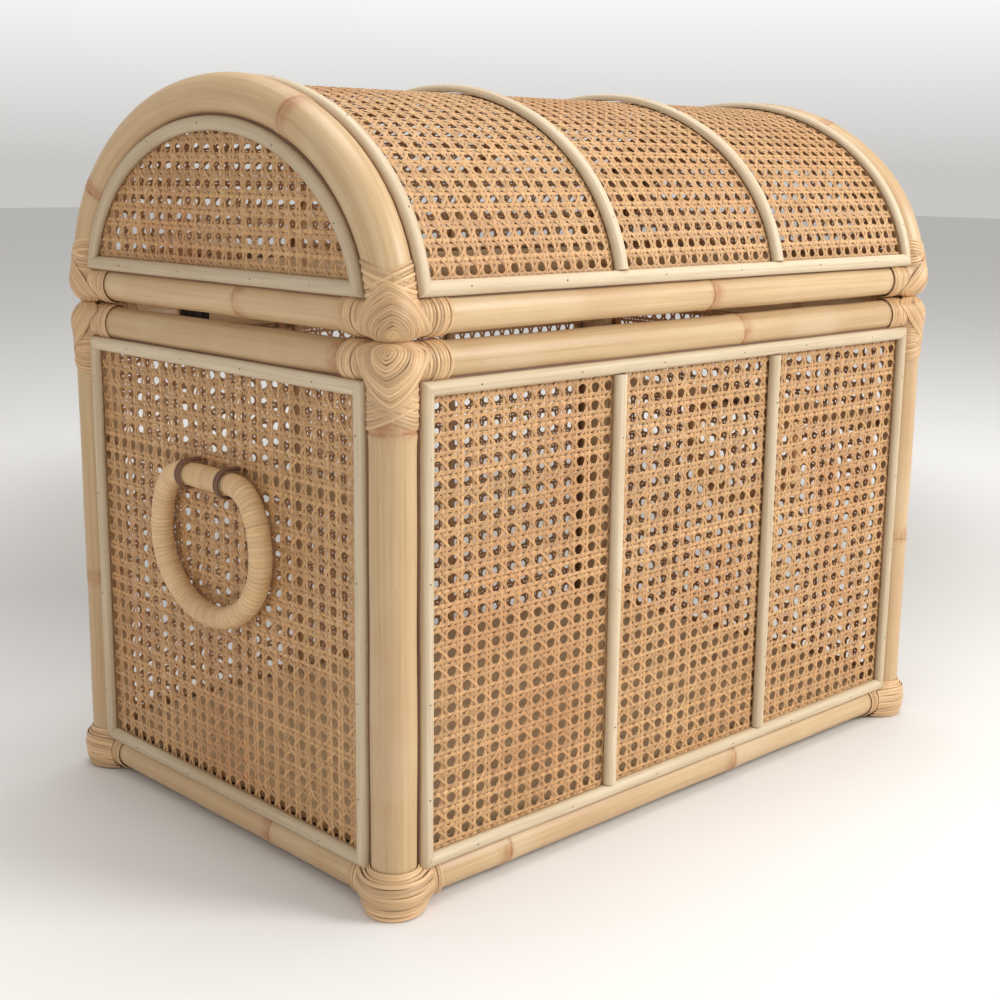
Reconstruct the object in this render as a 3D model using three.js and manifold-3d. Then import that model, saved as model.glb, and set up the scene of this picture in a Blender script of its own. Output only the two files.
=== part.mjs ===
// Rattan storage trunk with a barrel lid, a ring handle on each end and cane webbing panels.
//
// Millimetres, +Z up. X runs along the trunk, the front faces -Y and the hinges are at the back, +Y.
// The origin is on the floor, under the middle of the trunk.
//
// The frame is made of rattan poles: four posts, and a ring of rails at the bottom, at the top of the
// base and at the bottom of the lid. An elliptical arch stands at each end of the lid. Cane sheets lie
// a little outside the pole axes, and flat beading covers their edges. Peeled rattan binds each corner.

import * as THREE from 'three';
import { mergeVertices } from 'three/addons/utils/BufferGeometryUtils.js';
import Module from 'manifold-3d';

const wasm = await Module();
wasm.setup();

// ---------------------------------------------------------------- driving dimensions

const GAP = 0.3; // running and resting gap between neighbouring pieces

// Pole axes
const POST_X = 285; // from the middle to a post's axis, along the trunk
const POST_Y = 177.5; // from the middle to a post's axis, front to back
const BOTTOM_RAIL_Z = 16.5;
const TOP_RAIL_Z = 359;
const LID_GAP = 4; // between the base's top rail and the lid's rail
const LID_RISE = 134; // from the lid rail's axis up to the arch's axis at its crown

// Pole radii
const POST_RADIUS = 15;
const RAIL_RADIUS = 12.5;
const ARCH_RADIUS = 14;
const POLE_END_GAP = 1.5; // a rail stops this far short of the post or arch

// Cane sheets, beading and the strips that divide them
const SKIN_OFFSET = 8; // from the pole axes out to the middle of the cane sheet
const CANE_THICKNESS = 2.4;
const BEAD_WIDTH = 12;
const BEAD_THICKNESS = 5;
const DIVIDER_WIDTH = 12;
const DIVIDER_THICKNESS = 5.5;
const DIVIDER_X = 88.8; // from the middle to a divider's or rib's centre line

// Peeled rattan that wraps the corners
const BINDING_THICKNESS = 1.1;
const BINDING_REACH = 47; // along a rail, from the post's axis
const BINDING_DROP = 37; // down a post, from the top rail's axis
const BINDING_CLIMB = 29; // up an arch, from the lid rail's axis
const BINDING_FOOT_GAP = 0.8; // the lowest wrap stays this far off the floor

// Floor board
const BOARD_THICKNESS = 6;
const BOARD_INSET = 3; // from the rail axes in to the board's edge
const BOARD_NOTCH = 18; // square notch that clears each post

// Ring handles
const HANDLE_Z = 264; // the straight top stretch, which is the turning axis
const RING_TUBE_RADIUS = 8;
const RING_HALF_WIDTH = 61;
const RING_UPPER_HEIGHT = 46; // from the widest level up to the top stretch
const RING_LOWER_HEIGHT = 53; // from the widest level down to the lowest point
const RING_TOP_HALF = 30; // half the straight top stretch
const RING_CLEARANCE = 1; // between the ring and the cane
const LASHING_Y = 24; // from the middle to each lashing
const LASHING_WIDTH = 5;
const LASHING_THICKNESS = 1.6;
const LASHING_CLEARANCE = 0.5; // between the lashing and what it holds
const LASHING_SLOT_MARGIN = 0.4; // all round a lashing, where it passes through the cane

// Hinges
const HINGE_X = 195; // from the middle to each hinge's centre
const HINGE_LENGTH = 44;
const LEAF_THICKNESS = 1.6;
const LEAF_HEIGHT = 20;
const LEAF_GAP = 0.4; // between the leaf and the round of the pole
const KNUCKLE_RADIUS = 3.4;
const KNUCKLE_SETBACK = 3.8; // from the leaf's inner face out to the pin's axis
const KNUCKLE_END_GAP = 0.4;
const PIN_RADIUS = 1.5;
const PIN_CLEARANCE = 0.4;

// Facets
const POLE_SIDES = 12;
const SWEEP_SIDES = 10;
const ARCH_STEPS = 22;
const BAND_STEPS = 20;
const RING_STEPS = 30;
const PIN_SIDES = 10;

// ---------------------------------------------------------------- worked-out dimensions

const LID_RAIL_Z = TOP_RAIL_Z + 2 * RAIL_RADIUS + LID_GAP;
const BASE_TOP_Z = TOP_RAIL_Z + RAIL_RADIUS;
const LID_BOTTOM_Z = LID_RAIL_Z - RAIL_RADIUS;
const SEAM_Z = (BASE_TOP_Z + LID_BOTTOM_Z) / 2;

const CANE_INNER = SKIN_OFFSET - CANE_THICKNESS / 2;
const CANE_OUTER = SKIN_OFFSET + CANE_THICKNESS / 2;
const BEAD_BACK = CANE_OUTER + GAP;
const WRAP = GAP + BINDING_THICKNESS; // from a pole's surface to the outside of its binding

const RING_X = POST_X + CANE_OUTER + RING_CLEARANCE + RING_TUBE_RADIUS;
const BAR_RADIUS = RING_TUBE_RADIUS;
const BAR_X = POST_X + CANE_INNER - GAP - BAR_RADIUS;
const LASHING_INNER = RING_TUBE_RADIUS + LASHING_CLEARANCE;
const LASHING_OUTER = LASHING_INNER + LASHING_THICKNESS;

const LEAF_Y = POST_Y + RAIL_RADIUS + LEAF_GAP;
const PIN_Y = LEAF_Y + KNUCKLE_SETBACK;

// How far from a bound pole's axis a flat piece must start, when its nearer face is `depth` outside it
function clearOf(radius, depth) {
  return Math.sqrt((radius + WRAP + GAP) ** 2 - depth ** 2);
}

// ---------------------------------------------------------------- materials

function finish(colour, roughness, metalness = 0) {
  return new THREE.MeshStandardMaterial({ color: colour, roughness, metalness });
}

const MATERIALS = {
  pole: finish(0xd9b483, 0.5),
  beading: finish(0xe6d3ab, 0.6),
  cane: finish(0xd8ab73, 0.65),
  binding: finish(0xcfa06a, 0.55),
  board: finish(0xc9a273, 0.7),
  ring: finish(0xd6b27d, 0.55),
  lashing: finish(0x5c3b26, 0.7),
  metal: finish(0x3a2f28, 0.4, 0.9),
};

// ---------------------------------------------------------------- solids and sweeps

function solid(geometry) {
  const bare = geometry.clone();
  bare.deleteAttribute('normal');
  bare.deleteAttribute('uv');
  const merged = mergeVertices(bare);
  const vertProperties = new Float32Array(merged.attributes.position.array);
  const triVerts = new Uint32Array(merged.index.array);
  return new wasm.Manifold(new wasm.Mesh({ numProp: 3, vertProperties, triVerts }));
}

function geometryOf(body) {
  const mesh = body.getMesh();
  const geometry = new THREE.BufferGeometry();
  geometry.setAttribute('position', new THREE.BufferAttribute(mesh.vertProperties, 3));
  geometry.setIndex(new THREE.BufferAttribute(mesh.triVerts, 1));
  geometry.computeVertexNormals();
  return geometry;
}

function join(geometries) {
  return geometries.map(solid).reduce((whole, piece) => whole.add(piece));
}

// A round rod centred on the origin, along one axis
function rod(axis, length, radius, sides = POLE_SIDES) {
  const geometry = new THREE.CylinderGeometry(radius, radius, length, sides);
  if (axis === 'x') geometry.rotateZ(Math.PI / 2);
  if (axis === 'z') geometry.rotateX(Math.PI / 2);
  return geometry;
}

// A box between two corners
function block(low, high) {
  const size = high.map((value, i) => value - low[i]);
  const middle = high.map((value, i) => (value + low[i]) / 2);
  return new THREE.BoxGeometry(...size).translate(...middle);
}

function roundSection(radius) {
  const points = Array.from({ length: SWEEP_SIDES }, (_, i) => {
    const angle = (2 * Math.PI * (i + 0.5)) / SWEEP_SIDES;
    return new THREE.Vector2(radius * Math.cos(angle), radius * Math.sin(angle));
  });
  return new THREE.Shape(points);
}

function sweep(curve, radius, steps) {
  return new THREE.ExtrudeGeometry(roundSection(radius), { steps, extrudePath: curve, bevelEnabled: false });
}

// A sweep along a closed curve: its two end caps meet, so only the sides are kept
function closedSweep(curve, radius, steps) {
  const open = sweep(curve, radius, steps);
  const sides = open.groups[1];
  const positions = open.attributes.position.array.slice(3 * sides.start, 3 * (sides.start + sides.count));
  const geometry = new THREE.BufferGeometry();
  geometry.setAttribute('position', new THREE.BufferAttribute(positions, 3));
  const merged = mergeVertices(geometry);
  merged.computeVertexNormals();
  return merged;
}

// A flat outline in the Y-Z plane, `thickness` deep, whose face towards -X is at x
function crosswise(shape, x, thickness) {
  const geometry = new THREE.ExtrudeGeometry(shape, { depth: thickness, bevelEnabled: false });
  return geometry.rotateZ(Math.PI / 2).rotateY(Math.PI / 2).translate(x, 0, 0);
}

const trunk = new THREE.Group();

function place(name, geometry, material, position = [0, 0, 0]) {
  const mesh = new THREE.Mesh(geometry, material);
  mesh.name = name;
  mesh.position.set(...position);
  trunk.add(mesh);
  return mesh;
}

// ---------------------------------------------------------------- the arch of the lid

// A point on the arch's ellipse, moved outwards by `offset`, in the Y-Z plane. Angle 0 is at the back.
function archPoint(angle, offset) {
  const across = Math.cos(angle);
  const up = Math.sin(angle);
  const length = Math.hypot(LID_RISE * across, POST_Y * up);
  return new THREE.Vector2(
    POST_Y * across + (offset * LID_RISE * across) / length,
    LID_RAIL_Z + LID_RISE * up + (offset * POST_Y * up) / length,
  );
}

// The angle at which the offset arch is at a given height, found by halving
function archAngle(offset, height) {
  let low = 0;
  let high = Math.PI / 2;
  while (high - low > 1e-6) {
    const middle = (low + high) / 2;
    if (archPoint(middle, offset).y < height) low = middle;
    else high = middle;
  }
  return high;
}

// Points over the arch from back to front, starting and ending at a height. The angles between are the
// same for every offset, so nested bands keep an even gap.
function archPoints(offset, height) {
  const start = archAngle(offset, height);
  const step = Math.PI / BAND_STEPS;
  const between = Array.from({ length: BAND_STEPS - 1 }, (_, i) => (i + 1) * step)
    .filter((angle) => angle > start && angle < Math.PI - start);
  return [start, ...between, Math.PI - start].map((angle) => archPoint(angle, offset));
}

// A band over the arch between two offsets, as an outline
function archBand(inner, outer, height) {
  return new THREE.Shape([...archPoints(outer, height), ...archPoints(inner, height).reverse()]);
}

// The space under the arch, down to a height, as an outline
function underArch(offset, height) {
  return new THREE.Shape(archPoints(offset, height));
}

const ARCH_FOOT_SHARE = 0.02; // of the curve's parameter, that each straight foot takes

// The arch pole's axis: a straight foot, the half ellipse, and the other foot
class ArchCurve extends THREE.Curve {
  constructor(x) {
    super();
    this.x = x;
  }

  getPoint(t, target = new THREE.Vector3()) {
    if (t < ARCH_FOOT_SHARE) {
      return target.set(this.x, -POST_Y, LID_BOTTOM_Z + (RAIL_RADIUS * t) / ARCH_FOOT_SHARE);
    }
    if (t > 1 - ARCH_FOOT_SHARE) {
      return target.set(this.x, POST_Y, LID_BOTTOM_Z + (RAIL_RADIUS * (1 - t)) / ARCH_FOOT_SHARE);
    }
    const angle = (Math.PI * (t - ARCH_FOOT_SHARE)) / (1 - 2 * ARCH_FOOT_SHARE);
    return target.set(this.x, -POST_Y * Math.cos(angle), LID_RAIL_Z + LID_RISE * Math.sin(angle));
  }
}

// ---------------------------------------------------------------- sides and corners

// `out` is the distance out to the side's pole axes, and `along` is half the spacing of its posts
const ENDS = [
  { word: 'left', sign: -1, across: 'x', out: POST_X, along: POST_Y },
  { word: 'right', sign: 1, across: 'x', out: POST_X, along: POST_Y },
];
const FACES = [
  { word: 'front', sign: -1, across: 'y', out: POST_Y, along: POST_X },
  { word: 'back', sign: 1, across: 'y', out: POST_Y, along: POST_X },
];
const CORNERS = FACES.flatMap((face) => ENDS.map((end) => ({
  word: `${face.word}_${end.word}`,
  x: end.sign * POST_X,
  y: face.sign * POST_Y,
})));

// ---------------------------------------------------------------- poles

function posts() {
  for (const corner of CORNERS) {
    place(`post_${corner.word}`, rod('z', BASE_TOP_Z, POST_RADIUS), MATERIALS.pole,
      [corner.x, corner.y, BASE_TOP_Z / 2]);
  }
}

// Four rails at one height, ending against corner poles of the given radius
function railRing(prefix, z, cornerRadius) {
  const shortening = 2 * (cornerRadius + POLE_END_GAP);
  for (const face of FACES) {
    place(`${prefix}_${face.word}`, rod('x', 2 * POST_X - shortening, RAIL_RADIUS), MATERIALS.pole,
      [0, face.sign * POST_Y, z]);
  }
  for (const end of ENDS) {
    place(`${prefix}_${end.word}`, rod('y', 2 * POST_Y - shortening, RAIL_RADIUS), MATERIALS.pole,
      [end.sign * POST_X, 0, z]);
  }
}

function arches() {
  for (const end of ENDS) {
    const curve = new ArchCurve(end.sign * POST_X);
    place(`lid_arch_${end.word}`, sweep(curve, ARCH_RADIUS, ARCH_STEPS), MATERIALS.pole);
  }
}

// ---------------------------------------------------------------- corner bindings

// The two rail stretches that a binding covers, grown by `growth` and reaching `reach` from the corner
function railStubs(corner, z, growth, reach) {
  const alongX = rod('x', reach, RAIL_RADIUS + growth)
    .translate(corner.x - (Math.sign(corner.x) * reach) / 2, corner.y, z);
  const alongY = rod('y', reach, RAIL_RADIUS + growth)
    .translate(corner.x, corner.y - (Math.sign(corner.y) * reach) / 2, z);
  return [alongX, alongY];
}

// The stretch of post that a binding covers
function postStub(corner, growth, low, high) {
  return rod('z', high - low, POST_RADIUS + growth).translate(corner.x, corner.y, (low + high) / 2);
}

// A skin round the two rails and one upright pole, open where they leave it
function binding(name, corner, z, uprightOutside, uprightInside) {
  const outside = join(railStubs(corner, z, WRAP, BINDING_REACH)).add(uprightOutside);
  const inside = join(railStubs(corner, z, GAP, BINDING_REACH + 1)).add(uprightInside);
  place(name, geometryOf(outside.subtract(inside)), MATERIALS.binding);
}

function bindings() {
  for (const corner of CORNERS) {
    const footTop = BOTTOM_RAIL_Z + POST_RADIUS + WRAP;
    binding(`bottom_binding_${corner.word}`, corner, BOTTOM_RAIL_Z,
      solid(postStub(corner, WRAP, BINDING_FOOT_GAP, footTop)),
      solid(postStub(corner, GAP, -1, footTop + 1)));

    const postLow = TOP_RAIL_Z - BINDING_DROP;
    binding(`top_binding_${corner.word}`, corner, TOP_RAIL_Z,
      solid(postStub(corner, WRAP, postLow, BASE_TOP_Z + WRAP)),
      solid(postStub(corner, GAP, postLow - 1, BASE_TOP_Z + GAP)));

    const curve = new ArchCurve(corner.x);
    const legTop = LID_RAIL_Z + BINDING_CLIMB;
    const reach = 2 * POST_RADIUS;
    const legBox = solid(block([corner.x - reach, corner.y - reach, LID_BOTTOM_Z - reach],
      [corner.x + reach, corner.y + reach, legTop]));
    const cap = solid(rod('z', WRAP, ARCH_RADIUS + WRAP)
      .translate(corner.x, corner.y, LID_BOTTOM_Z - WRAP / 2));
    const capInside = solid(rod('z', 2 * GAP, ARCH_RADIUS + GAP).translate(corner.x, corner.y, LID_BOTTOM_Z));
    binding(`lid_binding_${corner.word}`, corner, LID_RAIL_Z,
      solid(sweep(curve, ARCH_RADIUS + WRAP, ARCH_STEPS)).intersect(legBox).add(cap),
      solid(sweep(curve, ARCH_RADIUS + GAP, ARCH_STEPS)).add(capInside));
  }
}

// ---------------------------------------------------------------- base panels

const PANEL_LOW = BOTTOM_RAIL_Z + clearOf(RAIL_RADIUS, CANE_INNER);
const PANEL_HIGH = TOP_RAIL_Z - clearOf(RAIL_RADIUS, CANE_INNER);
const BEAD_LOW = BOTTOM_RAIL_Z + clearOf(RAIL_RADIUS, BEAD_BACK);
const BEAD_HIGH = TOP_RAIL_Z - clearOf(RAIL_RADIUS, BEAD_BACK);

// A box on one side of the trunk: its reach along the side, its heights, and its two depths outside
// the pole axes
function sideBox(side, [from, to], [low, high], [near, far]) {
  const [a, b] = [near, far].map((depth) => side.sign * (side.out + depth)).sort((p, q) => p - q);
  if (side.across === 'y') return block([from, a, low], [to, b, high]);
  return block([a, from, low], [b, to, high]);
}

// Slots in an end's cane, which the handle's lashings pass through
function lashingSlots(side) {
  const halfWidth = LASHING_WIDTH / 2 + LASHING_SLOT_MARGIN;
  const halfHeight = LASHING_OUTER + LASHING_SLOT_MARGIN;
  return [-LASHING_Y, LASHING_Y].map((y) => {
    return sideBox(side, [y - halfWidth, y + halfWidth], [HANDLE_Z - halfHeight, HANDLE_Z + halfHeight],
      [CANE_INNER - 1, CANE_OUTER + 1]);
  });
}

function canePanels() {
  for (const side of [...FACES, ...ENDS]) {
    const half = side.along - clearOf(POST_RADIUS, CANE_INNER);
    const sheet = sideBox(side, [-half, half], [PANEL_LOW, PANEL_HIGH], [CANE_INNER, CANE_OUTER]);
    const slotted = side.across === 'x' ? geometryOf(solid(sheet).subtract(join(lashingSlots(side)))) : sheet;
    place(`cane_panel_${side.word}`, slotted, MATERIALS.cane);
  }
}

// The bays that a side's beading leaves open. The back's two dividers are part of its frame.
function bays(side, innerHalf) {
  if (side.word !== 'back') return [[-innerHalf, innerHalf]];
  const near = DIVIDER_X - DIVIDER_WIDTH / 2;
  const far = DIVIDER_X + DIVIDER_WIDTH / 2;
  return [[-innerHalf, -far], [-near, near], [far, innerHalf]];
}

// A mitred frame of beading over the edges of each cane panel
function baseBeading() {
  for (const side of [...FACES, ...ENDS]) {
    const half = side.along - clearOf(POST_RADIUS, BEAD_BACK);
    const far = BEAD_BACK + BEAD_THICKNESS;
    const whole = sideBox(side, [-half, half], [BEAD_LOW, BEAD_HIGH], [BEAD_BACK, far]);
    const windows = bays(side, half - BEAD_WIDTH).map((bay) => {
      return sideBox(side, bay, [BEAD_LOW + BEAD_WIDTH, BEAD_HIGH - BEAD_WIDTH], [BEAD_BACK - 1, far + 1]);
    });
    place(`beading_${side.word}`, geometryOf(solid(whole).subtract(join(windows))), MATERIALS.beading);
  }
}

// Two strips stand between the front's top and bottom beading
function frontDividers() {
  const low = BEAD_LOW + BEAD_WIDTH + GAP;
  const high = BEAD_HIGH - BEAD_WIDTH - GAP;
  const front = FACES[0];
  for (const end of ENDS) {
    const centre = end.sign * DIVIDER_X;
    const reach = [centre - DIVIDER_WIDTH / 2, centre + DIVIDER_WIDTH / 2];
    place(`front_divider_${end.word}`,
      sideBox(front, reach, [low, high], [BEAD_BACK, BEAD_BACK + DIVIDER_THICKNESS]), MATERIALS.beading);
  }
}

// The board lies on the bottom rails and is notched round the posts
function floorBoard() {
  const halfX = POST_X - BOARD_INSET;
  const halfY = POST_Y - BOARD_INSET;
  const low = BOTTOM_RAIL_Z + RAIL_RADIUS + WRAP + GAP;
  const whole = solid(block([-halfX, -halfY, low], [halfX, halfY, low + BOARD_THICKNESS]));
  const notches = CORNERS.map((corner) => {
    return block([corner.x - BOARD_NOTCH, corner.y - BOARD_NOTCH, low - 1],
      [corner.x + BOARD_NOTCH, corner.y + BOARD_NOTCH, low + BOARD_THICKNESS + 1]);
  });
  place('floor_board', geometryOf(whole.subtract(join(notches))), MATERIALS.board);
}

// ---------------------------------------------------------------- lid skin

const LID_CANE_LOW = LID_RAIL_Z + clearOf(RAIL_RADIUS, CANE_INNER);
const LID_BEAD_LOW = LID_RAIL_Z + clearOf(RAIL_RADIUS, BEAD_BACK);

function barrelCane() {
  const half = POST_X - clearOf(ARCH_RADIUS, CANE_INNER);
  place('lid_cane_barrel', crosswise(archBand(CANE_INNER, CANE_OUTER, LID_CANE_LOW), -half, 2 * half),
    MATERIALS.cane);
}

// One frame: a strip along each long rail and one beside each arch
function barrelBeading() {
  const half = POST_X - clearOf(ARCH_RADIUS, BEAD_BACK);
  const innerHalf = half - BEAD_WIDTH;
  const far = BEAD_BACK + BEAD_THICKNESS;
  const sheet = crosswise(archBand(BEAD_BACK, far, LID_BEAD_LOW), -half, 2 * half);
  const open = archBand(BEAD_BACK - 1, far + 1, LID_BEAD_LOW + BEAD_WIDTH);
  const window = crosswise(open, -innerHalf, 2 * innerHalf);
  place('lid_beading_barrel', geometryOf(solid(sheet).subtract(solid(window))), MATERIALS.beading);
}

function ribs() {
  const foot = LID_BEAD_LOW + BEAD_WIDTH + 2 * GAP;
  for (const end of ENDS) {
    const band = archBand(BEAD_BACK, BEAD_BACK + DIVIDER_THICKNESS, foot);
    place(`lid_rib_${end.word}`,
      crosswise(band, end.sign * DIVIDER_X - DIVIDER_WIDTH / 2, DIVIDER_WIDTH), MATERIALS.beading);
  }
}

// An outline under the arch made into a sheet between two depths outside an end's pole axes
function endSheet(end, shape, near, far) {
  const low = Math.min(end.sign * (POST_X + near), end.sign * (POST_X + far));
  return crosswise(shape, low, far - near);
}

function lidEnds() {
  const caneEdge = -clearOf(ARCH_RADIUS, CANE_INNER);
  const beadEdge = -clearOf(ARCH_RADIUS, BEAD_BACK);
  const far = BEAD_BACK + BEAD_THICKNESS;
  for (const end of ENDS) {
    const cane = endSheet(end, underArch(caneEdge, LID_CANE_LOW), CANE_INNER, CANE_OUTER);
    place(`lid_cane_${end.word}`, cane, MATERIALS.cane);

    const whole = endSheet(end, underArch(beadEdge, LID_BEAD_LOW), BEAD_BACK, far);
    const window = endSheet(end, underArch(beadEdge - BEAD_WIDTH, LID_BEAD_LOW + BEAD_WIDTH),
      BEAD_BACK - 1, far + 1);
    place(`lid_beading_${end.word}`, geometryOf(solid(whole).subtract(solid(window))), MATERIALS.beading);
  }
}

// ---------------------------------------------------------------- ring handles

// Closed outline of the ring's axis: a straight top, shoulders, and half an ellipse below
function ringCurve(x) {
  const widest = HANDLE_Z - RING_UPPER_HEIGHT;
  const point = (y, z) => new THREE.Vector3(x, y, z);
  const shoulder = (side) => [
    point(side * RING_TOP_HALF, HANDLE_Z),
    point(side * 50, HANDLE_Z),
    point(side * RING_HALF_WIDTH, widest + 24),
    point(side * RING_HALF_WIDTH, widest),
  ];
  const bowl = (t) => {
    const angle = Math.PI * t;
    return point(RING_HALF_WIDTH * Math.cos(angle), widest - RING_LOWER_HEIGHT * Math.sin(angle));
  };
  const lower = new THREE.Curve();
  lower.getPoint = bowl;
  const path = new THREE.CurvePath();
  path.add(new THREE.LineCurve3(point(0, HANDLE_Z), point(RING_TOP_HALF, HANDLE_Z)));
  path.add(new THREE.CubicBezierCurve3(...shoulder(1)));
  path.add(lower);
  path.add(new THREE.CubicBezierCurve3(...shoulder(-1).reverse()));
  path.add(new THREE.LineCurve3(point(-RING_TOP_HALF, HANDLE_Z), point(0, HANDLE_Z)));
  return path;
}

function ringHandles() {
  for (const end of ENDS) {
    place(`ring_handle_${end.word}`, closedSweep(ringCurve(end.sign * RING_X), RING_TUBE_RADIUS, RING_STEPS),
      MATERIALS.ring);
  }
}

// A bar inside each end, from post to post, that the lashings go round
function handleBars() {
  const length = 2 * (POST_Y - POST_RADIUS - POLE_END_GAP);
  for (const end of ENDS) {
    place(`handle_bar_${end.word}`, rod('y', length, BAR_RADIUS, SWEEP_SIDES), MATERIALS.pole,
      [end.sign * BAR_X, 0, HANDLE_Z]);
  }
}

// A band with round ends, round the ring and the bar
function stadium(x1, x2, radius, Kind = THREE.Shape) {
  return new Kind()
    .absarc(x2, HANDLE_Z, radius, -Math.PI / 2, Math.PI / 2)
    .absarc(x1, HANDLE_Z, radius, Math.PI / 2, (3 * Math.PI) / 2)
    .closePath();
}

// Two loops for each handle, tied together by a strip behind the bar
function lashings() {
  for (const end of ENDS) {
    const [x1, x2] = [end.sign * RING_X, end.sign * BAR_X].sort((a, b) => a - b);
    const loop = stadium(x1, x2, LASHING_OUTER);
    loop.holes.push(stadium(x1, x2, LASHING_INNER, THREE.Path));
    const loops = [-LASHING_Y, LASHING_Y].map((y) => {
      return new THREE.ExtrudeGeometry(loop, { depth: LASHING_WIDTH, bevelEnabled: false, curveSegments: 5 })
        .rotateX(Math.PI / 2)
        .translate(0, y + LASHING_WIDTH / 2, 0);
    });
    const behind = [BAR_X - LASHING_OUTER, BAR_X - LASHING_INNER]
      .map((x) => end.sign * x)
      .sort((a, b) => a - b);
    const strip = block([behind[0], -LASHING_Y, HANDLE_Z - LASHING_WIDTH / 2],
      [behind[1], LASHING_Y, HANDLE_Z + LASHING_WIDTH / 2]);
    place(`handle_lashing_${end.word}`, geometryOf(join([...loops, strip])), MATERIALS.lashing);
  }
}

// ---------------------------------------------------------------- hinges

// A flat leaf behind a rail, with tabs that reach the knuckles on the stretches given
function leaf(centre, low, high, stretches) {
  const half = HINGE_LENGTH / 2;
  const plate = block([centre - half, LEAF_Y, low], [centre + half, LEAF_Y + LEAF_THICKNESS, high]);
  const tabs = stretches.map(([from, to]) => {
    return block([centre + from, LEAF_Y, Math.min(low, SEAM_Z)],
      [centre + to, LEAF_Y + LEAF_THICKNESS, Math.max(high, SEAM_Z)]);
  });
  const knuckles = stretches.map(([from, to]) => {
    return rod('x', to - from, KNUCKLE_RADIUS).translate(centre + (from + to) / 2, PIN_Y, SEAM_Z);
  });
  return join([plate, ...tabs, ...knuckles]);
}

function hinges() {
  const half = HINGE_LENGTH / 2;
  const third = HINGE_LENGTH / 6;
  const reach = KNUCKLE_RADIUS + GAP;
  for (const end of ENDS) {
    const centre = end.sign * HINGE_X;
    const outer = [[-half, -third - KNUCKLE_END_GAP / 2], [third + KNUCKLE_END_GAP / 2, half]];
    const inner = [[-third + KNUCKLE_END_GAP / 2, third - KNUCKLE_END_GAP / 2]];
    const pin = solid(rod('x', HINGE_LENGTH, PIN_RADIUS, PIN_SIDES).translate(centre, PIN_Y, SEAM_Z));
    const bore = solid(rod('x', HINGE_LENGTH, PIN_RADIUS + PIN_CLEARANCE, PIN_SIDES)
      .translate(centre, PIN_Y, SEAM_Z));

    const baseLeaf = leaf(centre, SEAM_Z - reach - LEAF_HEIGHT, SEAM_Z - reach, outer).add(pin);
    place(`hinge_base_leaf_${end.word}`, geometryOf(baseLeaf), MATERIALS.metal);

    const lidLeaf = leaf(centre, SEAM_Z + reach, SEAM_Z + reach + LEAF_HEIGHT, inner).subtract(bore);
    place(`hinge_lid_leaf_${end.word}`, geometryOf(lidLeaf), MATERIALS.metal);
  }
}

// ---------------------------------------------------------------- the trunk

posts();
railRing('bottom_rail', BOTTOM_RAIL_Z, POST_RADIUS);
railRing('top_rail', TOP_RAIL_Z, POST_RADIUS);
railRing('lid_rail', LID_RAIL_Z, ARCH_RADIUS);
arches();
bindings();
canePanels();
baseBeading();
frontDividers();
floorBoard();
barrelCane();
barrelBeading();
ribs();
lidEnds();
ringHandles();
handleBars();
lashings();
hinges();

export default trunk;
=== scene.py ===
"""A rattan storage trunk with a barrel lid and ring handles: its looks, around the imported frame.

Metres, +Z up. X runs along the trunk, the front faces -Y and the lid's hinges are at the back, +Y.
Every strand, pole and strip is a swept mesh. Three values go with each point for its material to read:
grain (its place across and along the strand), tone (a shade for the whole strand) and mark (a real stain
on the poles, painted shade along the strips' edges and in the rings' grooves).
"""

import math

import bpy
import numpy as np
from mathutils import Matrix, Vector


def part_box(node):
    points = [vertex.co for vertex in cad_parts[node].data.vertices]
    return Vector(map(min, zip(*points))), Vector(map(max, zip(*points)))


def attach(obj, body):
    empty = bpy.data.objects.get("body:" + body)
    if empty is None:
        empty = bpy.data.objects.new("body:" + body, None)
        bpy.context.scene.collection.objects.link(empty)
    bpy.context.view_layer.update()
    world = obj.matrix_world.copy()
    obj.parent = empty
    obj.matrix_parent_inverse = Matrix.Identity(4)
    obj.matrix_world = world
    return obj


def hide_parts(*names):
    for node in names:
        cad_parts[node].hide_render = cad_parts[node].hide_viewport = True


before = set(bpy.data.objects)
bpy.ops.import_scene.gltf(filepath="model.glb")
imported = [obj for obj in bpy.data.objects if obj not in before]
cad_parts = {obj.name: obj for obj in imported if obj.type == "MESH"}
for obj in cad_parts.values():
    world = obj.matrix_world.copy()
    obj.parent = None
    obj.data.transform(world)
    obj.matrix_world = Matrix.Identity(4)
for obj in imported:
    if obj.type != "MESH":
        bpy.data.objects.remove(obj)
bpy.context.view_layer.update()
rng = np.random.default_rng(7)

MM = 0.001
ENDS = (("left", -1), ("right", 1))
FACES = (("front", -1), ("back", 1))
CORNERS = [(f"{face}_{end}", sx, sy) for face, sy in FACES for end, sx in ENDS]


# ---- sizes, from the frame

def middle(node):
    low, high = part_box(node)
    return np.array((low + high) / 2)


def half(node):
    low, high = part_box(node)
    return np.array((high - low) / 2)


POST_X, POST_Y = middle("post_back_right")[:2]
POST_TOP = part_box("post_back_right")[1].z
POST_RADIUS = half("post_back_right")[0]
RAIL_RADIUS = half("top_rail_front")[2]
BOTTOM_RAIL_Z = middle("bottom_rail_front")[2]
TOP_RAIL_Z = middle("top_rail_front")[2]
LID_RAIL_Z = middle("lid_rail_front")[2]
LID_BOTTOM_Z = LID_RAIL_Z - RAIL_RADIUS
ARCH_RADIUS = half("lid_arch_left")[0] / math.cos(math.pi / 10)  # the frame's arch has ten sides
LID_RISE = 134 * MM  # from the lid rail's axis up to the arch's axis at its crown
ARCH_CLEARANCE = 1.7 * MM  # between the arch pole and the edge of the sheet and strip inside it
SKIN = middle("cane_panel_back")[1] - POST_Y  # from the pole axes out to the middle of the cane
BEAD_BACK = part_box("beading_back")[0].y - POST_Y
BEAD_THICKNESS = 2 * half("beading_back")[1]
BEAD_WIDTH = 10 * MM  # the frame's is 12; the strips are a little narrower, on the same outer edge
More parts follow.
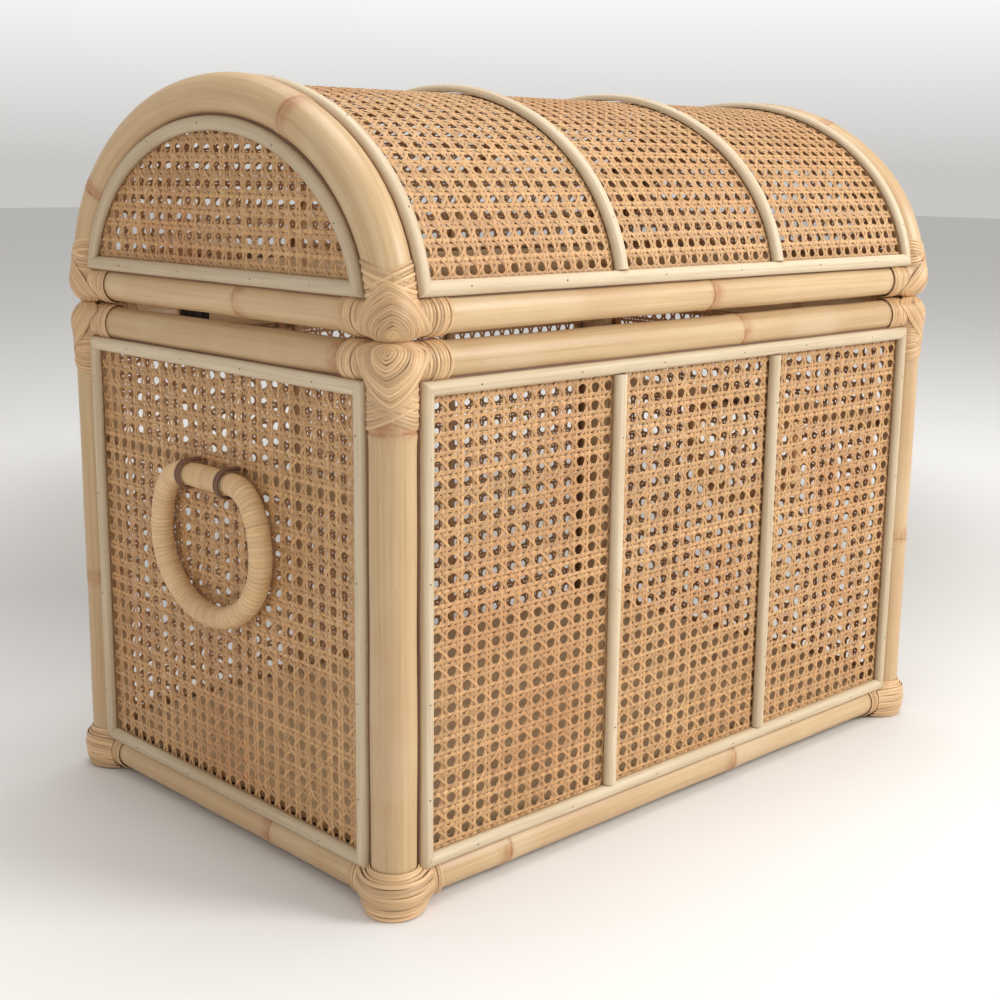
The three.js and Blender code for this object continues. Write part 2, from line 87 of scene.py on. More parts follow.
DIVIDER_X = middle("front_divider_right")[0]
DIVIDER_WIDTH = 2 * half("front_divider_right")[0] * 0.92
DIVIDER_THICKNESS = 2 * half("front_divider_right")[1]
RING_X = middle("ring_handle_right")[0]
RING_RADIUS = half("ring_handle_right")[0] / math.cos(math.pi / 10)
RING_HALF_WIDTH = 61 * MM
RING_TOP_HALF = 30 * MM  # half the straight stretch on top, which is the turning axis
RING_UPPER, RING_LOWER = 46 * MM, 53 * MM  # from the widest level up to the top and down to the bottom
HANDLE_Z = middle("handle_bar_right")[2]
BAR_X = middle("handle_bar_right")[0]
BAR_RADIUS = half("handle_bar_right")[0]
LASHING_Y = 24 * MM


# ---- swept meshes

def unit(vectors):
    return vectors / np.linalg.norm(vectors, axis=-1, keepdims=True)


class Shape:
    """A mesh being gathered from swept strands and other closed shells."""

    def __init__(self):
        self.points, self.loops, self.sizes = [], [], []
        self.grain, self.tone, self.mark = [], [], []
        self.count = 0

    def add(self, points, polygons, grain=None, tone=0.5, mark=0.0):
        """polygons is a list of index arrays, each (how many, corners of one polygon)."""
        n = len(points)
        self.points.append(points)
        self.grain.append(points if grain is None else grain)
        self.tone.append(np.broadcast_to(tone, n))
        self.mark.append(np.broadcast_to(mark, n))
        for corners in polygons:
            self.loops.append((corners + self.count).ravel())
            self.sizes.append(np.full(len(corners), corners.shape[1]))
        self.count += n


def tube_faces(rings, sides, closed):
    """Quads between neighbouring rings, and a cap on each end of an open tube."""
    first = np.arange(rings if closed else rings - 1)
    i = (first[:, None] * sides).repeat(sides, 1)
    j = (((first + 1) % rings)[:, None] * sides).repeat(sides, 1)
    k = np.arange(sides)[None, :]
    nxt = (k + 1) % sides
    faces = [np.stack([i + k, i + nxt, j + nxt, j + k], -1).reshape(-1, 4)]
    if not closed:
        faces.append(np.arange(sides)[::-1][None, :])
        faces.append(((rings - 1) * sides + np.arange(sides))[None, :])
    return faces


def sweep(shape, path, outward, section, closed=False, scale=1.0, tone=0.5, mark=0.0, ends=(None, None)):
    """Carries a section of (sideways, outward) points along a path.
    An end given as a vector is cut square to it."""
    if closed:
        tangent = unit(np.roll(path, -1, 0) - np.roll(path, 1, 0))
    else:
        tangent = unit(np.gradient(path, axis=0))
    outward = np.broadcast_to(outward, path.shape)
    outward = unit(outward - (outward * tangent).sum(1, keepdims=True) * tangent)
    side = np.cross(outward, tangent)
    section = np.broadcast_to(section, (len(path), *section.shape[-2:]))
    section = section * np.broadcast_to(scale, len(path))[:, None, None]
    rings = path[:, None] + side[:, None] * section[..., :1] + outward[:, None] * section[..., 1:]
    for end, normal in zip((0, -1), ends):
        if normal is not None:
            along = tangent[end]
            reach = ((path[end] - rings[end]) @ normal) / (along @ normal)
            rings[end] += reach[:, None] * along
    step = np.linalg.norm(np.diff(path, axis=0), axis=1)
    distance = np.concatenate([[0], np.cumsum(step)])
    along = np.broadcast_to(distance[:, None, None], (*section.shape[:2], 1))
    grain = np.concatenate([section, along], -1) + rng.uniform(0, 3, 3)
    sides = section.shape[1]
    mark = np.broadcast_to(mark, (len(path), 1) if np.ndim(mark) == 0 else np.shape(mark))
    mark = np.broadcast_to(mark.reshape(len(path), -1), (len(path), sides))
    faces = tube_faces(len(path), sides, closed)
    shape.add(rings.reshape(-1, 3), faces, grain.reshape(-1, 3), tone, mark.ravel())


def strand_section(width, thickness):
    """A flat strand with a domed face."""
    outline = [(.5, -.1), (.33, .42), (0, .5), (-.33, .42), (-.5, -.1), (-.3, -.5), (.3, -.5)]
    return np.array(outline) * (width, thickness)


def flat_section(width, thickness):
    """A thin flat strand with rounded edges."""
    return np.array([(.5, 0), (.27, .5), (-.27, .5), (-.5, 0), (-.3, -.5), (.3, -.5)]) * (width, thickness)


def round_section(radius, sides):
    angle = np.arange(sides) * 2 * math.pi / sides
    return radius * np.stack([np.cos(angle), np.sin(angle)], 1)


def half_round(width, thickness, steps=10):
    """A domed strip whose flat back is at 0."""
    angle = np.linspace(0, math.pi, steps)
    dome = np.stack([width / 2 * np.cos(angle), thickness * np.sin(angle) ** 0.75], 1)
    return np.concatenate([dome, [(-width * 0.44, 0), (width * 0.44, 0)]])


def resample(path, at):
    """Points at given distances along a path."""
    distance = np.concatenate([[0], np.cumsum(np.linalg.norm(np.diff(path, axis=0), axis=1))])
    return np.stack([np.interp(at, distance, path[:, k]) for k in range(3)], 1)


def length_of(path):
    return np.linalg.norm(np.diff(path, axis=0), axis=1).sum()


def build(shape, name, material, body, *replaced, crease=50):
    """Makes the gathered mesh into a piece that rides on a body."""
    mesh = bpy.data.meshes.new(name)
    points, loops, sizes = (np.concatenate(x) for x in (shape.points, shape.loops, shape.sizes))
    mesh.vertices.add(len(points))
    mesh.vertices.foreach_set("co", points.astype(np.float32).ravel())
    mesh.loops.add(len(loops))
    mesh.loops.foreach_set("vertex_index", loops.astype(np.int32))
    mesh.polygons.add(len(sizes))
    mesh.polygons.foreach_set("loop_start", (np.cumsum(sizes) - sizes).astype(np.int32))
    mesh.polygons.foreach_set("use_smooth", np.ones(len(sizes), bool))
    mesh.update(calc_edges=True)
    mesh.set_sharp_from_angle(angle=math.radians(crease))
    grain = mesh.attributes.new("grain", "FLOAT_VECTOR", "POINT")
    grain.data.foreach_set("vector", np.concatenate(shape.grain).astype(np.float32).ravel())
    for key, values in (("tone", shape.tone), ("mark", shape.mark)):
        mesh.attributes.new(key, "FLOAT", "POINT").data.foreach_set(
            "value", np.concatenate(values).astype(np.float32))
    mesh.materials.append(material)
    piece = bpy.data.objects.new(name, mesh)
    bpy.context.scene.collection.objects.link(piece)
    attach(piece, body)
    if replaced:
        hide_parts(*replaced)


# ---- materials

class Paint:
    """A procedural material and the few node chains that these materials share."""

    def __init__(self, name, roughness=0.5):
        self.material = bpy.data.materials.new(name)
        self.material.use_nodes = True
        self.nodes = self.material.node_tree.nodes
        self.links = self.material.node_tree.links
        self.shader = self.nodes["Principled BSDF"]
        self.shader.inputs["Roughness"].default_value = roughness

    def node(self, kind, **values):
        made = self.nodes.new(kind)
        for key, value in values.items():
            setattr(made, key, value)
        return made

    def attribute(self, name, output="Fac"):
        return self.node("ShaderNodeAttribute", attribute_name=name).outputs[output]

    def stretched(self, source, scale):
        mapping = self.node("ShaderNodeMapping")
        self.links.new(source, mapping.inputs["Vector"])
        mapping.inputs["Scale"].default_value = scale
        return mapping.outputs["Vector"]

    def noise(self, source, scale, detail=3.0, roughness=0.55):
        """Noise of the source's coordinates, stretched by the scale on each axis."""
        made = self.node("ShaderNodeTexNoise")
        self.links.new(self.stretched(source, scale), made.inputs["Vector"])
        made.inputs["Scale"].default_value = 1.0
        made.inputs["Detail"].default_value = detail
        made.inputs["Roughness"].default_value = roughness
        return made.outputs["Fac"]

    def ramp(self, source, stops):
        """stops are (place, colour or grey)."""
        made = self.node("ShaderNodeValToRGB")
        elements = made.color_ramp.elements
        while len(elements) < len(stops):
            elements.new(0.5)
        for element, (place, colour) in zip(elements, stops):
            element.position = place
            element.color = (*colour, 1) if isinstance(colour, tuple) else (colour, colour, colour, 1)
        self.links.new(source, made.inputs["Fac"])
        return made.outputs["Color"]

    def mix(self, below, above, share, blend="MIX"):
        """share is a socket or a number."""
        made = self.node("ShaderNodeMix", data_type="RGBA", blend_type=blend)
        for place, value in ((0, share), (6, below), (7, above)):
            if isinstance(value, bpy.types.NodeSocket):
                self.links.new(value, made.inputs[place])
            else:
                made.inputs[place].default_value = (*value, 1) if isinstance(value, tuple) else value
        return made.outputs[2]

    def stained_and_shaded(self, colour, stain_and_shade, grain, scale, stops, **noise):
        """The colour darkened at the marks, broken up by noise: a real stain on the poles, painted shade on
        the strips and rings.
        """
        patchy = self.noise(grain, scale, **noise)
        marked = self.node("ShaderNodeMath", operation="MULTIPLY", use_clamp=True)
        self.links.new(self.attribute("mark"), marked.inputs[0])
        self.links.new(self.ramp(patchy, stops), marked.inputs[1])
        return self.mix(colour, stain_and_shade, marked.outputs[0])

    def bump(self, height, strength, distance):
        made = self.node("ShaderNodeBump")
        made.inputs["Strength"].default_value = strength
        made.inputs["Distance"].default_value = distance
        self.links.new(height, made.inputs["Height"])
        self.links.new(made.outputs["Normal"], self.shader.inputs["Normal"])

    def finish(self, colour, rough_from, rough_range):
        self.links.new(colour, self.shader.inputs["Base Color"])
        spread = self.node("ShaderNodeMapRange")
        spread.inputs["To Min"].default_value, spread.inputs["To Max"].default_value = rough_range
        self.links.new(rough_from, spread.inputs["Value"])
        self.links.new(spread.outputs["Result"], self.shader.inputs["Roughness"])
        return self.material


def fibrous(name, dark, light, warm, stain_and_shade, tones, rough_range, fine=900, length=14, bump=0.25):
    """Rattan in any form: long fibres, a shade for each strand, warm patches, and painted shade at the
    marks, which lie along the strips' edges and in the rings' grooves.
    """
    paint = Paint(name)
    grain = paint.attribute("grain", "Vector")
    place = paint.node("ShaderNodeTexCoord").outputs["Object"]
    fibres = paint.noise(grain, (fine, fine, length), detail=4.0, roughness=0.6)
    base = paint.ramp(fibres, [(0.28, dark), (0.62, light)])
    patches = paint.noise(place, (9, 9, 9), detail=2.0)
    patch_share = paint.ramp(patches, [(0.45, 0.0), (0.75, 0.55)])
    colour = paint.mix(base, warm, patch_share)
    shade = paint.ramp(paint.attribute("tone"), [(0.0, tones[0]), (1.0, tones[1])])
    colour = paint.mix(colour, shade, 1.0, "MULTIPLY")
    # Painted shade at the marks: along the strips' edges and in the rings' grooves.
    colour = paint.stained_and_shaded(colour, stain_and_shade, grain, (260, 260, 160), [(0.3, 0.55), (0.6, 1.0)])
    paint.bump(fibres, bump, 0.0004)
    return paint.finish(colour, fibres, rough_range)


def pole_material():
    """Smooth rattan with its skin on: fine fibres, brown clouds, pale patches, specks and node stains."""
    paint = Paint("rattan_pole")
    grain = paint.attribute("grain", "Vector")
    place = paint.node("ShaderNodeTexCoord").outputs["Object"]
    fibres = paint.noise(grain, (330, 330, 5), detail=5.0, roughness=0.6)
    base = paint.ramp(fibres, [(0.25, (0.50, 0.33, 0.165)), (0.5, (0.615, 0.43, 0.235)),
                               (0.75, (0.69, 0.51, 0.30))])
    clouds = paint.noise(grain, (28, 28, 7), detail=3.0)
    colour = paint.mix(base, (0.55, 0.345, 0.19), paint.ramp(clouds, [(0.42, 0.0), (0.72, 0.75)]))
    pale = paint.noise(place, (14, 14, 14), detail=2.0)
    colour = paint.mix(colour, (0.70, 0.56, 0.36), paint.ramp(pale, [(0.5, 0.0), (0.8, 0.6)]))
    shade = paint.ramp(paint.attribute("tone"), [(0.0, (0.86, 0.84, 0.81)), (1.0, (1.04, 1.03, 1.02))])
    colour = paint.mix(colour, shade, 1.0, "MULTIPLY")
    specks = paint.noise(grain, (900, 900, 90), detail=2.0)
    colour = paint.mix(colour, (0.30, 0.16, 0.07), paint.ramp(specks, [(0.68, 0.0), (0.80, 0.55)]))
    colour = paint.stained_and_shaded(colour, (0.42, 0.19, 0.08), grain, (75, 75, 45), [(0.36, 0.28), (0.56, 1.0)],
                           detail=4.0, roughness=0.7)
    paint.bump(fibres, 0.18, 0.0005)
    return paint.finish(colour, fibres, (0.34, 0.50))


def metal_material(name, dark, light):
    paint = Paint(name)
    place = paint.node("ShaderNodeTexCoord").outputs["Object"]
    wear = paint.noise(place, (160, 160, 160), detail=5.0)
    colour = paint.ramp(wear, [(0.35, dark), (0.7, light)])
    paint.shader.inputs["Metallic"].default_value = 0.85
    paint.bump(wear, 0.1, 0.0002)
    return paint.finish(colour, wear, (0.34, 0.55))


def floor_material_with_painted_shadow():
    """Pale, with a painted shadow: softly greyer close behind the trunk, where the floor shows through the
    cane.
    """
    paint = Paint("studio_floor_painted_shadow", 0.9)
    mapping = paint.node("ShaderNodeMapping")
    paint.links.new(paint.node("ShaderNodeTexCoord").outputs["Object"], mapping.inputs["Vector"])
    mapping.inputs["Location"].default_value = (-0.50, -0.60, 0)
    away = paint.node("ShaderNodeVectorMath", operation="LENGTH")
    paint.links.new(mapping.outputs["Vector"], away.inputs[0])
    span = paint.node("ShaderNodeMapRange", interpolation_type="SMOOTHSTEP")
    span.inputs["From Min"].default_value, span.inputs["From Max"].default_value = 0.25, 1.05
    paint.links.new(away.outputs["Value"], span.inputs["Value"])
    # Painted shadow: grey within 0.25 m of a spot behind the trunk, fading to the pale floor by 1.05 m.
    colour = paint.mix((0.38, 0.365, 0.345), (0.81, 0.805, 0.795), span.outputs["Result"])
    paint.links.new(colour, paint.shader.inputs["Base Color"])
    return paint.material


POLE = pole_material()
CANE = fibrous(
    "cane_webbing", dark=(0.42, 0.225, 0.09), light=(0.69, 0.425, 0.205), warm=(0.52, 0.245, 0.098),
    stain_and_shade=(0.32, 0.14, 0.055), tones=((0.74, 0.70, 0.66), (1.10, 1.08, 1.04)), rough_range=(0.40, 0.60))
# The peel's darker mark colour is painted shade, laid only along the edges of the inner battens and hoops.
PEEL = fibrous(
    "peel_binding", dark=(0.50, 0.31, 0.155), light=(0.75, 0.52, 0.30), warm=(0.63, 0.38, 0.19),
    stain_and_shade=(0.30, 0.13, 0.05), tones=((0.72, 0.68, 0.64), (1.14, 1.12, 1.08)), rough_range=(0.30, 0.50),
    fine=1100, length=20)
# The beading's darker mark colour is painted shade, laid along each strip's edges where it meets the cane.
BEAD = fibrous(
    "beading", dark=(0.54, 0.425, 0.27), light=(0.68, 0.57, 0.41), warm=(0.56, 0.40, 0.235),
    stain_and_shade=(0.30, 0.18, 0.09), tones=((0.80, 0.77, 0.72), (1.04, 1.03, 1.02)), rough_range=(0.42, 0.62),
    fine=520, length=12)
# The ring's darker mark colour is painted shade, laid in the grooves between the wraps.
RING = fibrous(
    "ring_wrap", dark=(0.57, 0.365, 0.18), light=(0.77, 0.54, 0.295), warm=(0.65, 0.395, 0.19),
    stain_and_shade=(0.30, 0.14, 0.06), tones=((0.80, 0.77, 0.72), (1.10, 1.08, 1.05)), rough_range=(0.32, 0.50),
    fine=50, length=1300, bump=0.10)
LASHING = fibrous(
    "lashing", dark=(0.10, 0.048, 0.027), light=(0.22, 0.115, 0.065), warm=(0.20, 0.09, 0.045),
    stain_and_shade=(0.04, 0.02, 0.01), tones=((0.8, 0.8, 0.8), (1.2, 1.2, 1.2)), rough_range=(0.5, 0.75))
BOARD = fibrous(
    "floor_board", dark=(0.42, 0.27, 0.14), light=(0.62, 0.44, 0.25), warm=(0.52, 0.35, 0.18),
    stain_and_shade=(0.3, 0.2, 0.1), tones=((0.95, 0.95, 0.95), (1.0, 1.0, 1.0)), rough_range=(0.6, 0.8),
    fine=240, length=8)
METAL = metal_material("hinge_metal", (0.018, 0.014, 0.011), (0.05, 0.038, 0.028))
SCREW = metal_material("screw_metal", (0.16, 0.125, 0.085), (0.33, 0.27, 0.19))


# ---- the arch of the lid

def arch(angle, offset=0.0):
    """Places on the arch's ellipse moved outwards by an offset, as (y, z), and the outward directions there.
    Angle 0 is at the back."""
    across, up = np.cos(angle), np.sin(angle)
    normal = unit(np.stack([LID_RISE * across, POST_Y * up], -1))
    place = np.stack([POST_Y * across, LID_RAIL_Z + LID_RISE * up], -1) + offset * normal
    return place, normal


def arch_route(offset, low, steps=400):
    """(y, z) and outward directions over the arch from back to front, above a height."""
    place, normal = arch(np.linspace(-0.05, math.pi + 0.05, steps), offset)
    kept = place[:, 1] >= low
    return place[kept], normal[kept]


def in_plane(x, flat):
    """(y, z) values as points at x."""
    return np.column_stack([np.full(len(flat), x), flat])


# ---- poles

NODE_SPACING = 235 * MM
KNOWN_NODES = {  # distance of a pole's nodes from its start
    "post_front_left": (318 * MM,),
    "lid_rail_left": (135 * MM,),
    "top_rail_left": (24 * MM,),
    "lid_rail_front": (279 * MM,),
    "top_rail_front": (316 * MM,),
    "lid_arch_left": (172 * MM, 430 * MM),
}
NODE_PROFILE = np.array([-14, -9, -6, -4, -2.6, -1.6, -.9, -.3, .3, .9, 1.6, 2.6, 4, 6, 9, 14, 20]) * MM


def node_places(name, length):
    if name in KNOWN_NODES:
        return np.array(KNOWN_NODES[name])
    start = rng.uniform(0.25, 0.8) * NODE_SPACING
    return np.arange(start, length - 20 * MM, NODE_SPACING * rng.uniform(0.9, 1.1))


def pole(name, route, radius, outward, body, sides=28, bow=0.0, round_ends=()):
    """A rattan pole along a route, a little uneven, with a ridge and a stain at each node.
    round_ends says which ends are domed: 0 for the first, 1 for the last."""
    shape = Shape()
    length = length_of(route)
    nodes = node_places(name, length)
    near = (nodes[:, None] + NODE_PROFILE).ravel()
    tip = radius * (1 - np.cos(np.linspace(0, math.pi / 2, 9)))
    at = np.concatenate([np.arange(0, length, 9 * MM), near, tip, length - tip])
    at = np.unique(np.round(at[(at >= 0) & (at <= length)], 5))
    path = resample(route, at)
    path[:, 2] += bow * (1 - (2 * at / length - 1) ** 2)
    swell = np.zeros(len(at))
    mark = np.zeros(len(at))
    for node in nodes:
        d = at - node
        swell += 0.55 * MM * np.exp(-(d / (6 * MM)) ** 2) - 0.75 * MM * np.exp(-(d / (1.0 * MM)) ** 2)
        side = rng.choice((-1, 1))
        mark += 0.9 * np.exp(-(d / (1.1 * MM)) ** 2) + 0.8 * np.exp(-((d - side * 4 * MM) / (5.5 * MM)) ** 2)
    wobble = sum(np.sin(at * f + rng.uniform(0, 6)) for f in (17, 31, 53)) * 0.12 * MM
    scale = (radius + swell + wobble) / radius
    for last, rest in ((0, at), (1, length - at)):
        if last in round_ends:
            scale *= np.sqrt(np.clip(1 - np.clip(1 - rest / radius, 0, 1) ** 2, 0.02, 1))
        else:
            scale[-last] *= 0.95
    sweep(shape, path, outward, round_section(radius, sides), scale=scale, tone=rng.uniform(0.2, 0.9),
          mark=np.clip(mark, 0, 1))
    build(shape, name + "_pole", POLE, body, name)


def straight(start, end):
    return np.linspace(start, end, 60)


def rails(prefix, body, bow):
    for end, sx in ENDS:
        low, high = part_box(f"{prefix}_{end}")
        x, z = sx * POST_X, (low.z + high.z) / 2
        route = straight((x, low.y, z), (x, high.y, z))
        pole(f"{prefix}_{end}", route, RAIL_RADIUS, (sx, 0, 0), body, bow=bow)
    for face, sy in FACES:
        low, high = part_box(f"{prefix}_{face}")
        y, z = sy * POST_Y, (low.z + high.z) / 2
        route = straight((low.x, y, z), (high.x, y, z))
        pole(f"{prefix}_{face}", route, RAIL_RADIUS, (0, sy, 0), body, bow=bow)


def arch_route_with_feet(x):
    """The arch pole's axis: a straight foot, the half ellipse, and the other foot."""
    ellipse, _ = arch(np.linspace(math.pi, 0, 300))
    foot = np.linspace(LID_BOTTOM_Z, LID_RAIL_Z, 8)[:-1]
    front = np.column_stack([np.full(7, -POST_Y), foot])
    back = np.column_stack([np.full(7, POST_Y), foot[::-1]])
    return in_plane(x, np.concatenate([front, ellipse, back]))


def poles():
    for corner, sx, sy in CORNERS:
        pole(f"post_{corner}", straight((sx * POST_X, sy * POST_Y, 0), (sx * POST_X, sy * POST_Y, POST_TOP)),
             POST_RADIUS, (sx, 0, 0), "base", sides=32, round_ends=(1,))
    rails("bottom_rail", "base", 0.0)
    rails("top_rail", "base", -0.5 * MM)
    rails("lid_rail", "lid", 0.4 * MM)
    for end, sx in ENDS:
        pole(f"lid_arch_{end}", arch_route_with_feet(sx * POST_X), ARCH_RADIUS, (sx, 0, 0), "lid",
             sides=32, round_ends=(0, 1))
        low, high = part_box(f"handle_bar_{end}")
        pole(f"handle_bar_{end}", straight((sx * BAR_X, low.y, HANDLE_Z), (sx * BAR_X, high.y, HANDLE_Z)),
             BAR_RADIUS, (sx, 0, 0), "base", sides=20)


# ---- cane webbing

PITCH = {  # between the pairs of upright strands, and between the level ones, in each kind of sheet
    "face": (13.1 * MM, 12.45 * MM),
    "end": (12.1 * MM, 12.8 * MM),
    "lid_end": (11.9 * MM, 11.7 * MM),
    "barrel": (12.05 * MM, 11.9 * MM),
}
PAIR_HALF = 1.66 * MM  # from the middle of a pair to each strand's own middle
STRAND_WIDTH, STRAND_THICKNESS = 2.45 * MM, 0.6 * MM
SLANT_WIDTH, SLANT_THICKNESS = 2.05 * MM, 0.45 * MM
WEAVE_HEIGHT = 0.30 * MM  # of a strand's middle where it crosses one of the other pair
SLANT_HEIGHT = 0.57 * MM
SLANT_FLAT = 0.17  # share of a pitch that a slanting strand stays up or down on each side of a crossing


class FlatSheet:
    """A flat sheet: u runs along it, v up it and h out of it."""

    def __init__(self, origin, along, outward, inside, reach, pitch):
        self.origin, self.along, self.outward = (np.array(v, float) for v in (origin, along, outward))
        self.up = np.array((0, 0, 1.0))
        self.inside, self.reach, self.pitch = inside, reach, pitch

    def at(self, u, v, h):
        return self.origin + np.outer(u, self.along) + np.outer(v, self.up) + np.outer(h, self.outward)

    def out(self, v):
        return np.broadcast_to(self.outward, (len(v), 3))


class BarrelSheet:
    """The curved sheet over the lid: u runs along the trunk, v over the arch from its crown to the front."""

    def __init__(self, offset, low, half_length):
        flat, normal = arch_route(offset, low)
        distance = np.concatenate([[0], np.cumsum(np.linalg.norm(np.diff(flat, axis=0), axis=1))])
        self.v = distance - distance[-1] / 2
        self.flat, self.normal = flat, normal
        limit = self.v[-1]
        self.inside = lambda u, v: (np.abs(u) <= half_length) & (np.abs(v) <= limit)
        self.reach, self.pitch = (half_length, limit), PITCH["barrel"]

    def at(self, u, v, h):
        out = self.out(v)
        y, z = (np.interp(v, self.v, self.flat[:, k]) for k in (0, 1))
        return np.stack([u, y, z], 1) + out * h[:, None]

    def out(self, v):
        y, z = (np.interp(v, self.v, self.normal[:, k]) for k in (0, 1))
        return unit(np.stack([np.zeros(len(v)), y, z], 1))


def add_strand(shape, sheet, line, keys, heights, section, palest=1.0):
    """A strand that follows line(t) = (u, v) over the part of it inside the sheet, at its weave heights."""
    fine = np.linspace(keys[0], keys[-1], 6 * len(keys))
    kept = fine[sheet.inside(*line(fine))]
    if len(kept) < 8:
        return
    low, high = kept[0], kept[-1]
    margin = (keys[-1] - keys[0]) / len(keys) / 3
    t = np.concatenate([[low], keys[(keys > low + margin) & (keys < high - margin)], [high]])
    u, v = line(t)
    h = np.interp(t, keys, heights)
    sway = rng.uniform(-0.14, 0.14) * MM
    sweep(shape, sheet.at(u + sway, v + sway, h), sheet.out(v), section, tone=rng.uniform(0, palest))


def weave_keys(reach, pitch, offsets):
    """Places of the crossings along a strand, and how many each repeat has."""
    count = int(reach / pitch) + 2
    return (np.arange(-count, count + 1)[:, None] * pitch + np.array(offsets)).ravel(), 2 * count + 1


def paired_strands(sheet, reach_across, reach_along, pitch_across, pitch_along, order, swap):
    """Pairs of strands in one direction, over one strand of every pair they cross and under the other."""
    shape = Shape()
    section = flat_section(STRAND_WIDTH, STRAND_THICKNESS)
    flat = pitch_along / 2 - 2.2 * MM
    keys, repeats = weave_keys(reach_along, pitch_along, (-PAIR_HALF, PAIR_HALF, flat, pitch_along - flat))
    count = int(reach_across / pitch_across) + 1
    for i in range(-count, count + 1):
        for member in (-1, 1):
            up = order * member * WEAVE_HEIGHT
            heights = np.tile([-up, up, 0, 0], repeats)
            across = i * pitch_across + member * PAIR_HALF

            def line(t, across=across):
                fixed = np.full(len(t), across)
                return (t, fixed) if swap else (fixed, t)

            add_strand(shape, sheet, line, keys, heights, section)
    return shape


def slanting_strands(sheet, direction):
    """One set of slanting strands: over one kind of pair and under the other."""
    shape = Shape()
    section = flat_section(SLANT_WIDTH, SLANT_THICKNESS)
    along, up = sheet.reach
    pitch_along, pitch_up = sheet.pitch
    turns = np.array([-SLANT_FLAT, SLANT_FLAT, 0.5 - SLANT_FLAT, 0.5 + SLANT_FLAT])
    keys, repeats = weave_keys(along, pitch_along, turns * pitch_along)
    rise = direction * SLANT_HEIGHT
    heights = np.tile([rise, rise, -rise, -rise], repeats)
    count = int(along / pitch_along + up / pitch_up) + 2
    for k in range(-count, count + 1):

        def line(t, k=k):
            return t, direction * pitch_up * (0.5 + k - t / pitch_along)

        add_strand(shape, sheet, line, keys, heights, section, palest=0.7)
    return shape


def webbing(name, sheet, body, replaced):
    """Six-way cane: pairs of strands upright and level, and single strands slanting both ways."""
    along, up = sheet.reach
    pitch_along, pitch_up = sheet.pitch
    sets = {
        "uprights": paired_strands(sheet, along, up, pitch_along, pitch_up, 1, False),
        "levels": paired_strands(sheet, up, along, pitch_up, pitch_along, -1, True),
        "slants": slanting_strands(sheet, 1),
        "counter_slants": slanting_strands(sheet, -1),
    }
    for kind, shape in sets.items():
        build(shape, f"{name}_{kind}", CANE, body, replaced, crease=80)


def panel_sheet(node, sx, sy):
    """The sheet that a flat CAD panel stands for, from its box."""
    centre, reach = middle(node), half(node)
    across = 1 if sx else 0
    u_limit, v_limit = reach[across], reach[2]
    return FlatSheet(centre, (abs(sy), abs(sx), 0), (sx, sy, 0),
                     lambda u, v: (np.abs(u) <= u_limit) & (np.abs(v) <= v_limit), (u_limit, v_limit),
                     PITCH["end" if sx else "face"])


def lid_end_sheet(node, sx):
    """The sheet under an arch. Its outline is the arch's, moved inwards."""
    low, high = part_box(node)
    edge = -math.sqrt((ARCH_RADIUS + ARCH_CLEARANCE) ** 2 - (SKIN - half(node)[0]) ** 2)
    outline, _ = arch_route(edge, low.z)
    order = np.argsort(outline[:, 0])
    y, z = outline[order].T

    def inside(u, v):
        height = np.interp(u, y, z, left=-1, right=-1) - LID_RAIL_Z
        return (v >= low.z - LID_RAIL_Z) & (v <= height)

    origin = ((low.x + high.x) / 2, 0, LID_RAIL_Z)
    return FlatSheet(origin, (0, 1, 0), (sx, 0, 0), inside, (high.y, high.z - LID_RAIL_Z), PITCH["lid_end"])


def cane():
    for face, sy in FACES:
        webbing(f"cane_{face}", panel_sheet(f"cane_panel_{face}", 0, sy), "base", f"cane_panel_{face}")
    for end, sx in ENDS:
        webbing(f"cane_{end}", panel_sheet(f"cane_panel_{end}", sx, 0), "base", f"cane_panel_{end}")
        webbing(f"lid_cane_{end}", lid_end_sheet(f"lid_cane_{end}", sx), "lid", f"lid_cane_{end}")
    barrel = BarrelSheet(SKIN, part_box("lid_cane_barrel")[0].z, half("lid_cane_barrel")[0])
    webbing("lid_cane_barrel", barrel, "lid", "lid_cane_barrel")


# ---- beading, dividers and ribs

NAIL_SPACING = 86 * MM
STRIP_GAP = 0.3 * MM  # between a strip's end and the strip that it meets


def uneven(count, amount):
    """A smooth random scale near 1 along a strip."""
    t = np.linspace(0, 1, count)
    return 1 + amount * sum(np.sin(t * f + rng.uniform(0, 6)) for f in (5, 11, 23)) / 3


def strip(shape, nails, route, outward, width, thickness, ends=(None, None)):
    """A half-round strip along a route on its flat back, with nails down the middle and painted shade along
    its edges.
    """
    length = length_of(route)
    at = np.linspace(0, length, max(3, int(length / (7 * MM))))
    path = resample(route, at)
    out = unit(resample(outward, at * length_of(outward) / length) if len(outward) > 3 else
               np.broadcast_to(outward[0], path.shape))
    section = half_round(width, thickness)[None] * np.stack(
        [uneven(len(at), 0.02), uneven(len(at), 0.04)], 1)[:, None]
    # Painted shade: the strip's two edges and its back, where it meets the cane, are marked darker.
    stain_and_shade = np.zeros(section.shape[:2])
    stain_and_shade[:, [0, -1, -2, -3]] = 0.75
    sweep(shape, path, out, section, tone=rng.uniform(0.2, 1), mark=stain_and_shade, ends=ends)
    count = max(1, round(length / NAIL_SPACING))
    for i in range(count):
        place = (i + 0.5 + rng.uniform(-0.12, 0.12)) * length / count
        spot = int(np.argmin(np.abs(at - place)))
        nail(nails, path[spot] + out[spot] * thickness * 0.985, out[spot])


def nail(shape, place, outward, radius=0.6 * MM):
    """A small domed nail head."""
    across = unit(np.cross(outward, (0.3, 0.5, 0.8)))
    path = place + np.outer([-0.4 * MM, 0.12 * MM, 0.28 * MM], outward)
    sweep(shape, path, across, round_section(radius, 8), scale=[1, 0.9, 0.4])


